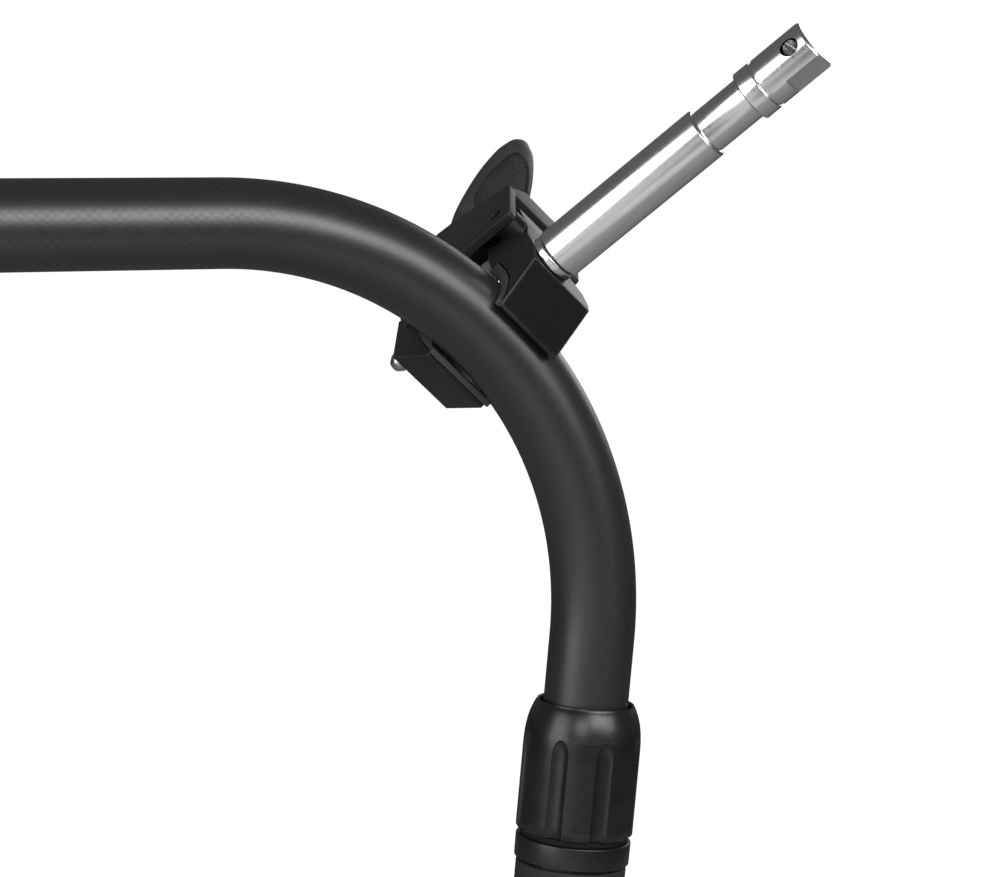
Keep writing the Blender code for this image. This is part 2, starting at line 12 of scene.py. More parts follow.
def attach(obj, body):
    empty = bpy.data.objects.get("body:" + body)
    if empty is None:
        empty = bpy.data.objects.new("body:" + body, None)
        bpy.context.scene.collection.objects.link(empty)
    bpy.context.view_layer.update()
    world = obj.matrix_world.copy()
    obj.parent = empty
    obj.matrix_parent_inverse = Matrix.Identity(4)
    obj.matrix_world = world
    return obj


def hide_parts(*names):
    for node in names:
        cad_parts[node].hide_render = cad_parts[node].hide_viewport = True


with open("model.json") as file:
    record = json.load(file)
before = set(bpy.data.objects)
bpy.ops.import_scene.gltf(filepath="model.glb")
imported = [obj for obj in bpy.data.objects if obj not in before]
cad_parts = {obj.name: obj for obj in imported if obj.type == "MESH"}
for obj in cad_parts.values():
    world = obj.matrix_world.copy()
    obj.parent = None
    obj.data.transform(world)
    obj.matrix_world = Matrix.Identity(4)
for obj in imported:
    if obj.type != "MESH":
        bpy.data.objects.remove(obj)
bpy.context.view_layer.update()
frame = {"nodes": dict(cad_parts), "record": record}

MM = 0.001
JOINTS = {joint["name"]: joint for joint in frame["record"]["behaviour"]["joints"]}


# ---------------------------------------------------------------- axes and sizes from the frame

def axes(origin, x_axis, y_axis, z_axis):
    turn = Matrix((Vector(x_axis), Vector(y_axis), Vector(z_axis))).transposed().to_4x4()
    return Matrix.Translation(Vector(origin)) @ turn


def clamp_axes():
    """x along the tube, y up the spigot, z out of the clamp's mouth; the origin is on the tube's axis."""
    along = Vector(JOINTS["clamp_swivel"]["axis"])
    spigot = -Vector(JOINTS["yoke_slide"]["axis"])
    return axes(JOINTS["clamp_swivel"]["pos_m"], along, spigot, along.cross(spigot))


def arm_axes():
    """z out along the arm, y across it; the origin is where the tip collar's joint stands."""
    along = Vector(JOINTS["tip_slide"]["axis"])
    side = Vector((0.0, 1.0, 0.0))
    return axes(JOINTS["arm_collar_turn"]["pos_m"], side.cross(along), side, along)


GRIP = Matrix.Identity(4)
ARM = arm_axes()
CLAMP = clamp_axes()


def extent(node, matrix):
    """A node's lowest and highest corner in the given axes, in millimetres."""
    inverse = matrix.inverted()
    points = [(inverse @ vertex.co) / MM for vertex in frame["nodes"][node].data.vertices]
    low = Vector([min(point[k] for point in points) for k in range(3)])
    high = Vector([max(point[k] for point in points) for k in range(3)])
    return low, high


def radius_of(node, matrix):
    """The outer radius of a node that is turned about the z axis."""
    return extent(node, matrix)[1].y


def joint_place(joint, matrix):
    """A joint's point in the given axes, in millimetres."""
    return (matrix.inverted() @ Vector(JOINTS[joint]["pos_m"])) / MM


# ---------------------------------------------------------------- mesh tools

def corner_arc(before, corner, after, radius, steps=5):
    """Points of an arc that rounds one corner of a 2-D outline."""
    here = Vector(corner[:2])
    back = Vector(before[:2]) - here
    ahead = Vector(after[:2]) - here
    angle = back.angle(ahead)
    if radius <= 0.0 or angle > math.radians(178.0):
        return [tuple(here)]
    reach = min(radius / math.tan(angle / 2.0), 0.48 * back.length, 0.48 * ahead.length)
    radius = reach * math.tan(angle / 2.0)
    start = here + back.normalized() * reach
    end = here + ahead.normalized() * reach
    middle = here + (back.normalized() + ahead.normalized()).normalized() * (radius / math.sin(angle / 2.0))
    first, last = start - middle, end - middle
    turn = first.angle_signed(last)
    points = []
    for step in range(steps + 1):
        part = Matrix.Rotation(-turn * step / steps, 2)
        points.append(tuple(middle + part @ first))
    return points


def soften(outline, radius, closed=True):
    """Round the corners of an outline. A corner's own third value replaces the common radius."""
    points = []
    count = len(outline)
    for index, corner in enumerate(outline):
        if not closed and index in (0, count - 1):
            points.append(tuple(corner[:2]))
            continue
        own = corner[2] if len(corner) > 2 else radius
        points += corner_arc(outline[index - 1], corner, outline[(index + 1) % count], own)
    return points


def turned(profile, segments=128, closed=False, shape=None):
    """Revolve (radius, z) points about z. shape(angle, radius, z) may change each point's radius."""
    bm = bmesh.new()
    layer = bm.loops.layers.uv.new("UVMap")
    rows = []
    for radius, z in profile:
        if radius < 1e-6:
            rows.append([bm.verts.new((0.0, 0.0, z))])
            continue
        row = []
        for step in range(segments):
            angle = math.tau * step / segments
            r = shape(angle, radius, z) if shape else radius
            row.append(bm.verts.new((r * math.cos(angle), r * math.sin(angle), z)))
        rows.append(row)
    pairs = list(zip(rows, rows[1:])) + ([(rows[-1], rows[0])] if closed else [])
    runs = [0.0]
    for (r0, z0), (r1, z1) in zip(profile, profile[1:]):
        runs.append(runs[-1] + math.hypot(r1 - r0, z1 - z0))
    runs.append(runs[-1] + math.hypot(profile[0][0] - profile[-1][0], profile[0][1] - profile[-1][1]))
    widest = max(radius for radius, z in profile)
    for index, (lower, upper) in enumerate(pairs):
        for step in range(segments):
            after = (step + 1) % segments
            corners = [(lower, step), (lower, after), (upper, after), (upper, step)]
            marks = [(step, runs[index]), (step + 1, runs[index]), (step + 1, runs[index + 1]),
                     (step, runs[index + 1])]
            used, uvs = [], []
            for (row, place), mark in zip(corners, marks):
                vertex = row[place % len(row)]
                if vertex not in used:
                    used.append(vertex)
                    uvs.append(mark)
            face = bm.faces.new(used)
            for loop, (around, run) in zip(face.loops, uvs):
                loop[layer].uv = (around / segments * math.tau * widest * MM, run * MM)
    return bm


def spin(bm, matrix):
    bmesh.ops.rotate(bm, verts=bm.verts, cent=(0.0, 0.0, 0.0), matrix=matrix)


def aim(bm, axis, centre):
    """Lay a shape drawn about z along another axis, with its origin at a point."""
    spin(bm, Vector((0.0, 0.0, 1.0)).rotation_difference(Vector(axis)).to_matrix())
    bmesh.ops.translate(bm, verts=bm.verts, vec=centre)
    return bm


def sleeve(profile, rounding, segments):
    """Revolve a closed outline of (radius, z) corners."""
    return turned(soften(profile, rounding), segments, closed=True)


def spindle(profile, rounding, segments):
    """Revolve an open profile whose ends lie on the axis."""
    return turned(soften(profile, rounding, closed=False), segments)


def rod(radius, low, high, edge=0.15, segments=48):
    return spindle([(0.0, low), (radius, low), (radius, high), (0.0, high)], edge, segments)


def lay_across(bm, place, side=1.0):
    """Lay a shape drawn about z along x, or along -x, through a (y, z) place."""
    return aim(bm, (side, 0.0, 0.0), (0.0, place[0], place[1]))


def cross_rod(radius, place, low, high, edge=0.15, segments=64):
    """A rod along x through a (y, z) place."""
    return lay_across(rod(radius, low, high, edge, segments), place)


def round_edges(bm, edges, radius):
    bmesh.ops.bevel(bm, geom=list(edges), offset=radius, segments=3, profile=0.5, affect="EDGES",
                    clamp_overlap=False)


def prism(outline, low, high, corner=0.0, edge=0.0):
    """Extrude a (y, z) outline along x. Its own corners are rounded by corner, its rims by edge."""
    if edge:
        outline = [(*point[:2], max(point[2] if len(point) > 2 else corner, 1.3 * edge)) for point in outline]
    points = soften(outline, corner) if corner or edge else [point[:2] for point in outline]
    bm = bmesh.new()
    near = [bm.verts.new((low, y, z)) for y, z in points]
    far = [bm.verts.new((high, y, z)) for y, z in points]
    caps = [bm.faces.new(near), bm.faces.new(list(reversed(far)))]
    for index in range(len(points)):
        after = (index + 1) % len(points)
        bm.faces.new((near[after], near[index], far[index], far[after]))
    bmesh.ops.recalc_face_normals(bm, faces=bm.faces)
    if edge:
        rims = {side for cap in caps for side in cap.edges}
        round_edges(bm, rims, edge)
    return bm


def block(x, y, z, edge=0.0):
    """A box from its three (low, high) ranges."""
    bm = prism([(y[0], z[0]), (y[1], z[0]), (y[1], z[1]), (y[0], z[1])], x[0], x[1])
    if edge:
        round_edges(bm, bm.edges, edge)
    return bm


def to_object(name, bm, matrix):
    bmesh.ops.recalc_face_normals(bm, faces=bm.faces)
    bmesh.ops.transform(bm, matrix=matrix @ Matrix.Scale(MM, 4), verts=bm.verts)
    mesh = bpy.data.meshes.new(name)
    bm.to_mesh(mesh)
    bm.free()
    made = bpy.data.objects.new(name, mesh)
    bpy.context.scene.collection.objects.link(made)
    return made


def carve(bm, *cutters):
    """Take closed shapes away from a closed shape."""
    blank = to_object("blank", bm, Matrix.Identity(4))
    tools = [to_object("cutter", cutter, Matrix.Identity(4)) for cutter in cutters]
    for tool in tools:
        change = blank.modifiers.new("cut", "BOOLEAN")
        change.operation = "DIFFERENCE"
        change.solver = "EXACT"
        change.object = tool
    bpy.context.view_layer.update()
    depsgraph = bpy.context.evaluated_depsgraph_get()
    carved = bmesh.new()
    carved.from_mesh(blank.evaluated_get(depsgraph).data)
    bmesh.ops.scale(carved, verts=carved.verts, vec=(1.0 / MM, 1.0 / MM, 1.0 / MM))
    for made in [blank, *tools]:
        bpy.data.objects.remove(made, do_unlink=True)
    return carved


def fuse(*shapes):
    """Gather closed shapes that overlap one another into one mesh."""
    gathered = bmesh.new()
    for shape in shapes:
        bmesh.ops.recalc_face_normals(shape, faces=shape.faces)
        mesh = bpy.data.meshes.new("shape")
        shape.to_mesh(mesh)
        shape.free()
        gathered.from_mesh(mesh)
        bpy.data.meshes.remove(mesh)
    return gathered


def piece(name, bm, matrix, material, body, nodes, sharp=32.0):
    """Make one visible piece: its mesh, finish, the body it rides on and the nodes it stands for."""
    made = to_object(name, bm, matrix)
    made.data.materials.clear()
    made.data.materials.append(material)
    made.data.shade_smooth()
    made.data.set_sharp_from_angle(angle=math.radians(sharp))
    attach(made, body)
    if nodes:
        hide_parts(*nodes)
    return made


# ---------------------------------------------------------------- materials

class Finish:
    """A Principled material with short helpers for its procedural nodes."""

    def __init__(self, name, colour, roughness, metallic=0.0, **sockets):
        self.material = bpy.data.materials.new(name)
        self.material.use_nodes = True
        self.tree = self.material.node_tree
        self.shader = self.tree.nodes["Principled BSDF"]
        self.shader.inputs["Base Color"].default_value = (*colour, 1.0)
        self.shader.inputs["Roughness"].default_value = roughness
        self.shader.inputs["Metallic"].default_value = metallic
        for socket, value in sockets.items():
            self.shader.inputs[socket.replace("_", " ")].default_value = value

    def node(self, kind, **values):
        made = self.tree.nodes.new(kind)
        for key, value in values.items():
            setattr(made, key, value)
        return made

    def link(self, output, target):
        self.tree.links.new(output, target)

    def value(self, source, target):
        if hasattr(source, "links"):
            self.link(source, target)
        else:
            target.default_value = source

    def math(self, operation, first, second=0.0):
        made = self.node("ShaderNodeMath", operation=operation)
        self.value(first, made.inputs[0])
        self.value(second, made.inputs[1])
        return made.outputs[0]

    def add(self, first, second):
        return self.math("ADD", first, second)

    def times(self, first, second):
        return self.math("MULTIPLY", first, second)

    def coordinates(self, kind="Object", scale=(1.0, 1.0, 1.0)):
        source = self.node("ShaderNodeTexCoord")
        mapping = self.node("ShaderNodeMapping")
        mapping.inputs["Scale"].default_value = scale
        self.link(source.outputs[kind], mapping.inputs["Vector"])
        return mapping.outputs["Vector"]

    def noise(self, vector, scale, detail=3.0, roughness=0.55):
        made = self.node("ShaderNodeTexNoise")
        made.inputs["Scale"].default_value = scale
        made.inputs["Detail"].default_value = detail
        made.inputs["Roughness"].default_value = roughness
        self.link(vector, made.inputs["Vector"])
        return made.outputs["Fac"]

    def ramp(self, source, low, high, out_low, out_high):
        made = self.node("ShaderNodeMapRange")
        self.link(source, made.inputs["Value"])
        for key, value in (("From Min", low), ("From Max", high), ("To Min", out_low), ("To Max", out_high)):
            made.inputs[key].default_value = value
        return made.outputs["Result"]

    def spread(self, noise, low, high):
        """Spread the middle of a noise, where most of its values lie, over a range."""
        return self.ramp(noise, 0.3, 0.7, low, high)

    def mix(self, factor, first, second):
        made = self.node("ShaderNodeMix", data_type="RGBA")
        self.value(factor, made.inputs["Factor"])
        for socket, colour in ((made.inputs[6], first), (made.inputs[7], second)):
            if hasattr(colour, "links"):
                self.link(colour, socket)
            else:
                socket.default_value = (*colour, 1.0)
        return made.outputs[2]

    def colour(self, source):
        self.link(source, self.shader.inputs["Base Color"])

    def roughness(self, source):
        self.link(source, self.shader.inputs["Roughness"])

    def bump(self, height, strength, distance):
        made = self.node("ShaderNodeBump")
        made.inputs["Strength"].default_value = strength
        made.inputs["Distance"].default_value = distance
        self.link(height, made.inputs["Height"])
        self.link(made.outputs["Normal"], self.shader.inputs["Normal"])

    def edges(self, radius, sharpness=0.12):
        """1 along the sharp edges of a solid and 0 on its faces."""
        rounded = self.node("ShaderNodeBevel", samples=4)
        rounded.inputs["Radius"].default_value = radius
        plain = self.node("ShaderNodeNewGeometry")
        dot = self.node("ShaderNodeVectorMath", operation="DOT_PRODUCT")
        self.link(rounded.outputs["Normal"], dot.inputs[0])
        self.link(plain.outputs["Normal"], dot.inputs[1])
        return self.ramp(dot.outputs["Value"], 1.0 - sharpness, 1.0, 1.0, 0.0)


def carbon_finish():
    """Matt-lacquered carbon: a plain weave of small tows that fades where the tube is bent."""
    finish = Finish("carbon_weave", (0.016, 0.016, 0.017), 0.36, Specular_IOR_Level=0.85)
    tow = 1.45 * MM
    uv = finish.coordinates("UV")
    split = finish.node("ShaderNodeSeparateXYZ")
    finish.link(uv, split.inputs[0])
    wave_u = finish.math("SINE", finish.times(split.outputs["X"], math.pi / tow))
    wave_v = finish.math("SINE", finish.times(split.outputs["Y"], math.pi / tow))
    check = finish.times(wave_u, wave_v)
    shown = finish.node("ShaderNodeAttribute", attribute_name="weave").outputs["Fac"]
    wander = finish.noise(uv, 260.0, 3.0)
    cell = finish.ramp(check, -0.35, 0.35, -1.0, 1.0)
    contrast = finish.times(shown, finish.spread(wander, 0.35, 1.0))
    cell = finish.times(cell, contrast)
    tone = finish.mix(finish.ramp(cell, -1.0, 1.0, 0.0, 1.0), (0.010, 0.010, 0.0106), (0.020, 0.020, 0.0212))
    grain = finish.noise(finish.coordinates("UV", (1.0, 6.0, 1.0)), 900.0, 2.0)
    finish.colour(finish.mix(finish.ramp(grain, 0.35, 0.65, 0.0, 0.35), tone, (0.026, 0.026, 0.028)))
    finish.roughness(finish.add(finish.ramp(cell, -1.0, 1.0, 0.035, -0.035),
                                 finish.spread(wander, 0.34, 0.38)))
    finish.bump(finish.add(finish.times(cell, 0.5), finish.times(grain, 0.35)),
                0.12, 0.08 * MM)
    return finish.material


def anodised_finish():
    """Satin black anodising: even, with the faint circular marks of turning."""
    finish = Finish("black_anodised", (0.008, 0.008, 0.009), 0.28, 0.0, Specular_IOR_Level=0.62)
    lathe = finish.noise(finish.coordinates("UV", (0.02, 1.0, 1.0)), 5200.0, 2.0)
    patch = finish.noise(finish.coordinates("Object"), 140.0, 4.0)
    finish.colour(finish.mix(finish.spread(patch, 0.0, 1.0), (0.006, 0.006, 0.0065),
                             (0.011, 0.011, 0.0125)))
    finish.roughness(finish.add(finish.spread(patch, 0.25, 0.31),
                                 finish.spread(lathe, 0.0, 0.05)))
    finish.bump(lathe, 0.12, 0.02 * MM)
    return finish.material


def coat_finish(name, grain_scale, grain_height, roughness, colour, shine=0.5, edge_wear_and_highlight=0.6):
    """Black powder coat on a casting: fine grain, and sharp edges lightened partly as wear and partly as a
    painted highlight.
    """
    finish = Finish(name, colour, roughness, 0.0, Specular_IOR_Level=shine)
    place = finish.coordinates("Object")
    grain = finish.noise(place, grain_scale, 3.0, 0.6)
    patch = finish.noise(place, 90.0, 4.0)
    # Lighter colour along sharp edges: partly rubbed wear, partly a painted highlight for the thin light
    # lines that the edges catch.
    worn_and_lit_edges = finish.times(finish.edges(0.45 * MM), finish.ramp(patch, 0.36, 0.60, 0.45 * edge_wear_and_highlight, edge_wear_and_highlight))
    light = tuple(1.5 * value for value in colour)
    base = finish.mix(finish.spread(patch, 0.0, 1.0), colour, light)
    finish.colour(finish.mix(worn_and_lit_edges, base, (0.20, 0.20, 0.20)))
    finish.roughness(finish.add(finish.spread(grain, -0.05, 0.06), roughness))
    finish.bump(grain, 0.5, grain_height * MM)
    return finish.material


def rubber_finish(name, colour, scale, height, roughness=0.75, shine=0.35):
    """Moulded rubber: a fine cell texture and slightly dusty high spots."""
    finish = Finish(name, colour, roughness, 0.0, Specular_IOR_Level=shine)
    place = finish.coordinates("Object")
    cells = finish.node("ShaderNodeTexVoronoi")
    cells.inputs["Scale"].default_value = scale
    finish.link(place, cells.inputs["Vector"])
    patch = finish.noise(place, 60.0, 5.0)
    light = tuple(1.7 * value for value in colour)
    finish.colour(finish.mix(finish.ramp(patch, 0.3, 0.75, 0.0, 1.0), colour, light))
    finish.roughness(finish.spread(patch, roughness - 0.06, roughness + 0.08))
    finish.bump(cells.outputs["Distance"], 0.6, height * MM)
    return finish.material


def turned_metal_finish(name, colour, roughness, marks):
    """Bright metal with fine circular tool marks and a few long handling scratches."""
    finish = Finish(name, colour, roughness, 1.0)
    lathe = finish.noise(finish.coordinates("UV", (0.015, 1.0, 1.0)), 7000.0, 3.0)
    smear = finish.noise(finish.coordinates("UV", (1.0, 0.06, 1.0)), 500.0, 4.0)
    dull = tuple(0.86 * value for value in colour)
    finish.colour(finish.mix(finish.ramp(smear, 0.35, 0.7, 0.0, 1.0), colour, dull))
    finish.roughness(finish.add(finish.spread(lathe, -0.04, 0.06),
                                 finish.spread(smear, roughness - 0.03, roughness + 0.05)))
    finish.bump(lathe, marks, 0.02 * MM)
    return finish.material


def plastic_finish():
    finish = Finish("dark_acetal", (0.06, 0.06, 0.065), 0.5)
    patch = finish.noise(finish.coordinates("Object"), 300.0, 4.0)
    finish.colour(finish.mix(patch, (0.05, 0.05, 0.055), (0.085, 0.085, 0.09)))
    finish.roughness(finish.spread(patch, 0.44, 0.56))
    finish.bump(patch, 0.2, 0.03 * MM)
    return finish.material


CARBON = carbon_finish()
ANODISED = anodised_finish()
COAT = coat_finish("black_coat", 2600.0, 0.03, 0.36, (0.009, 0.0087, 0.0084), 0.32, 0.95)
CHANNEL = coat_finish("matt_black_coat", 2600.0, 0.03, 0.50, (0.016, 0.0155, 0.015), 0.45, 0.4)
PADDLE = coat_finish("moulded_black", 2200.0, 0.04, 0.52, (0.030, 0.030, 0.030), 0.5, 0.3)
CAST = coat_finish("textured_black_coat", 1100.0, 0.16, 0.50, (0.003, 0.003, 0.0033), 0.10, 0.3)
GRIP_RUBBER = rubber_finish("grip_rubber", (0.019, 0.019, 0.020), 2400.0, 0.05)
PAD_RUBBER = rubber_finish("pad_rubber", (0.045, 0.045, 0.047), 3000.0, 0.012, 0.5)
# Near-black rubber for the filler in the lock gaps: painted shade.
GAP_SHADE_RUBBER = rubber_finish("seal_rubber", (0.004, 0.004, 0.004), 3000.0, 0.03, 0.8)
# Near-black matt finish for a thin sheet that is painted shade.
SHADE_SHEET_BLACK = rubber_finish("painted_shade_black", (0.003, 0.003, 0.003), 1800.0, 0.1, 0.9, 0.05)
LEVER_RUBBER = rubber_finish("lever_pad_rubber", (0.020, 0.020, 0.022), 1500.0, 0.22, 0.52)
ALUMINIUM = turned_metal_finish("turned_aluminium", (0.86, 0.86, 0.88), 0.20, 0.25)
STEEL = turned_metal_finish("bright_steel", (0.62, 0.62, 0.63), 0.22, 0.2)
ACETAL = plastic_finish()


# ---------------------------------------------------------------- tubes

def carbon_arm():
    """The bent tube as one smooth sweep, wall and all, with its weave strongest on the straight arm."""
    bend_start = Vector((0.0, 0.0, JOINTS["grip_collar_turn"]["pos_m"][2] + 0.040))
    outward = Vector(JOINTS["tip_slide"]["axis"])
    sweep = math.atan2(-outward.x, outward.z)
    clamp = Vector(JOINTS["clamp_swivel"]["pos_m"])
    # The clamp's pivot lies on the bend's arc, which fixes the bend's radius.
    x, z = -clamp.x, clamp.z - bend_start.z
    radius = (x * x + z * z) / (2.0 * x)
    low = extent("arm_tube", GRIP)[0].z * MM
    outer = (extent("arm_tube", GRIP)[1].y - extent("arm_tube", GRIP)[0].y) / 2.0 * MM
    inner = outer - 1.7 * MM
    arc_end = bend_start + Vector((radius * (math.cos(sweep) - 1.0), 0.0, radius * math.sin(sweep)))
    far = extent("arm_lock_collar", ARM)[0].z * MM - 3.0 * MM
    arm_end = ARM @ Vector((0.0, 0.0, far))
    stations = [(Vector((0.0, 0.0, low)), 0.0, 0.0)]
    stations.append((bend_start, 0.0, 0.0))
    bends = 72
    for step in range(1, bends + 1):
        angle = sweep * step / bends
        place = bend_start + Vector((radius * (math.cos(angle) - 1.0), 0.0, radius * math.sin(angle)))
        stations.append((place, angle, max(0.0, (step / bends - 0.45) / 0.55) ** 1.5))
    for step in range(1, 9):
        stations.append((arc_end.lerp(arm_end, step / 8.0), sweep, 1.0))
    segments = 96
    bm = bmesh.new()
    uv = bm.loops.layers.uv.new("UVMap")
    weave = bm.verts.layers.float.new("weave")
    runs = [0.0]
    for (here, _, _), (after, _, _) in zip(stations, stations[1:]):
        runs.append(runs[-1] + (after - here).length)
    skins = []
    for skin_radius in (outer, inner):
        rings = []
        for place, angle, strength in stations:
            across = Vector((math.cos(angle), 0.0, math.sin(angle)))
            ring = []
            for step in range(segments):
                turn = math.tau * step / segments
                spot = place + (across * math.cos(turn) + Vector((0.0, math.sin(turn), 0.0))) * skin_radius
                vertex = bm.verts.new(spot / MM)
                vertex[weave] = strength
                ring.append(vertex)
            rings.append(ring)
        skins.append(rings)

    def strip(first, second, run_first, run_second):
        for step in range(segments):
            after = (step + 1) % segments
            face = bm.faces.new((first[step], first[after], second[after], second[step]))
            marks = ((step, run_first), (step + 1, run_first), (step + 1, run_second), (step, run_second))
            for loop, (around, run) in zip(face.loops, marks):
                loop[uv].uv = (run, around / segments * math.tau * outer)

    for rings in skins:
        for index in range(len(stations) - 1):
            strip(rings[index], rings[index + 1], runs[index], runs[index + 1])
    strip(skins[0][0], skins[1][0], 0.0, outer - inner)
    strip(skins[0][-1], skins[1][-1], runs[-1], runs[-1] + outer - inner)
    piece("carbon_arm", bm, GRIP, CARBON, "arm", ["arm_tube"])


def straight_tube(name, node, matrix, wall, body):
    low, high = extent(node, matrix)
    outer = (high.y - low.y) / 2.0
    inner = outer - wall
    wall_outline = [(inner, low.z), (outer, low.z), (outer, high.z), (inner, high.z)]
    made = piece(name, sleeve(wall_outline, 0.2, 96), matrix, CARBON, body, [node])
    mark = made.data.attributes.new("weave", "FLOAT", "POINT")
    mark.data.foreach_set("value", [1.0] * len(made.data.vertices))


# ---------------------------------------------------------------- twist locks

FLUTES = 8
FLUTE_HALF_WIDTH = 2.7
FLUTE_DEPTH = 1.25


def fluted_collar(name, node, matrix, body, tube_radius):
    """A turned collar with a flared shoulder and eight scooped flutes with round tops."""
    low, high = extent(node, matrix)
    base, rim = low.z, high.z
    widest = radius_of(node.replace("collar", "body"), matrix) + 0.25
    wall = widest - tube_radius
    shoulder = [(0.0, -0.35), (0.5, 0.0), (26.0, 0.0), (28.0, -0.04), (30.0, -0.16), (32.0, -0.38),
                (34.0, -0.75), (35.5, -1.15), (37.0, -1.66), (38.2, -2.16), (39.2, -2.62), (39.7, -3.0)]
    outer = [(widest + drop * wall / 5.0, base + z) for z, drop in shoulder]
    mouth = tube_radius + 1.2
    inner = [(mouth + 0.75, rim), (mouth + 0.3, rim - 0.15), (mouth, rim - 0.7), (mouth, rim - 2.5),
             (tube_radius + 2.7, rim - 4.0), (tube_radius + 2.7, base + 0.3), (tube_radius + 3.0, base)]
    flute_top = base + 30.5
    rows = []
    fine = [base + 0.5 + step * (25.5 - 0.5) / 10.0 for step in range(1, 10)]
    fine += [base + 25.5 + step * 0.42 for step in range(1, 12)]
    fine += [flute_top - gap for gap in (0.2, 0.08, 0.02)] + [flute_top + 0.01]
    heights = sorted({round(z, 3) for r, z in outer} | {round(z, 3) for z in fine})

    def outer_radius(z):
        for (r0, z0), (r1, z1) in zip(outer, outer[1:]):
            if z0 <= z <= z1:
                return r0 + (r1 - r0) * (z - z0) / max(z1 - z0, 1e-6)
        return outer[-1][0]

    for z in heights:
        rows.append((outer_radius(z), z, True))
    rows += [(r, z, False) for r, z in inner]
    scoop_points, land_points = 12, 8
    sector = math.tau / FLUTES
    bm = bmesh.new()
    uv = bm.loops.layers.uv.new("UVMap")
    rings = []
    for radius, z, fluted in rows:
        below_top = max(0.0, flute_top - z)
        grow = min(1.0, below_top / 5.2)
        narrow = math.sqrt(1.0 - (1.0 - grow) ** 2)
        half = max(0.05, FLUTE_HALF_WIDTH * narrow) / widest
        depth = FLUTE_DEPTH * min(1.0, narrow) if fluted else 0.0
        ring = []
        for flute in range(FLUTES):
            middle = flute * sector
            for step in range(scoop_points):
                across = -1.0 + 2.0 * step / scoop_points
                r = radius - depth * (1.0 - across * across) ** 0.8
                ring.append((middle + across * half, r))
            for step in range(land_points):
                part = step / land_points
                ring.append((middle + half + part * (sector - 2.0 * half), radius))
        rings.append([bm.verts.new((r * math.cos(a), r * math.sin(a), z)) for a, r in ring])
    count = len(rings[0])
    for index in range(len(rings)):
        upper = rings[(index + 1) % len(rings)]
        for step in range(count):
            after = (step + 1) % count
            face = bm.faces.new((rings[index][step], rings[index][after], upper[after], upper[step]))
            marks = ((step, index), (step + 1, index), (step + 1, index + 1), (step, index + 1))
            for loop, (around, row) in zip(face.loops, marks):
                height = rows[row % len(rows)][1]
                loop[uv].uv = (around / count * math.tau * widest * MM, height * MM)
    piece(name, bm, matrix, ANODISED, body, [node], sharp=38.0)


def lock_ring(name, node, matrix, body, outer_tube, inner_tube):
    """The threaded sleeve: a broad flange with a chamfered shoulder, and the neck inside the collar."""
    low, high = extent(node, matrix)
    flange = high.y
    top = low.z + 7.0
    profile = [(outer_tube + 0.2, low.z), (flange - 0.05, low.z, 0.3), (flange, top, 0.45),
               (inner_tube + 2.3, top), (inner_tube + 2.3, high.z, 0.4), (inner_tube + 0.3, high.z),
               (inner_tube + 0.3, top + 0.3), (outer_tube + 0.2, top + 0.3)]
    piece(name, sleeve(profile, 0.05, 128), matrix, ANODISED, body, [node])
    # A near-black filler ring closes the gap between the flange and the collar: painted shade for the shadow
    # in that gap.
    collar = extent(node.replace("body", "collar"), matrix)[0].z
    seal = [(inner_tube + 2.35, top + 0.05), (flange - 1.3, top + 0.05), (flange - 1.3, collar - 0.3),
            (inner_tube + 2.35, collar - 0.3)]
    piece(name.replace("sleeve", "seal"), sleeve(seal, 0.2, 96), matrix, GAP_SHADE_RUBBER, body, [])


def grip():
    sleeve_low, sleeve_high = extent("grip_sleeve", GRIP)
    radius = sleeve_high.y
    bore = radius - 1.5
    profile = [(bore, sleeve_low.z), (radius, sleeve_low.z, 0.6), (radius, sleeve_high.z, 1.3),
               (bore, sleeve_high.z)]
    piece("rubber_sleeve", sleeve(profile, 0.1, 128), GRIP, GRIP_RUBBER, "grip", ["grip_sleeve"])
    low, high = extent("butt_cap", GRIP)
    plug = radius_of("grip_tube", GRIP) - 1.6
    cap = [(0.0, 0.0), (8.0, 0.0), (radius - 1.4, 0.0, 0.8), (radius, 1.6, 0.8), (radius, 4.2, 0.4),
           (plug, 4.2, 0.1), (plug, high.z - 1.5, 0.4), (plug - 1.5, high.z, 0.4), (0.0, high.z)]
    piece("butt_foot", spindle(cap, 0.1, 128), GRIP, GRIP_RUBBER, "grip", ["butt_cap"])


def locks():
    tube = radius_of("arm_tube", GRIP)
    tip = radius_of("tip_tube", ARM)
    grip_tube = radius_of("grip_tube", GRIP)
    fluted_collar("grip_collar_fluted", "grip_lock_collar", GRIP, "grip_collar", tube)
    fluted_collar("arm_collar_fluted", "arm_lock_collar", ARM, "arm_collar", tip)
    lock_ring("grip_lock_sleeve", "grip_lock_body", GRIP, "grip", grip_tube, tube)
    lock_ring("arm_lock_sleeve", "arm_lock_body", ARM, "arm", tube, tip)


# ---------------------------------------------------------------- tip

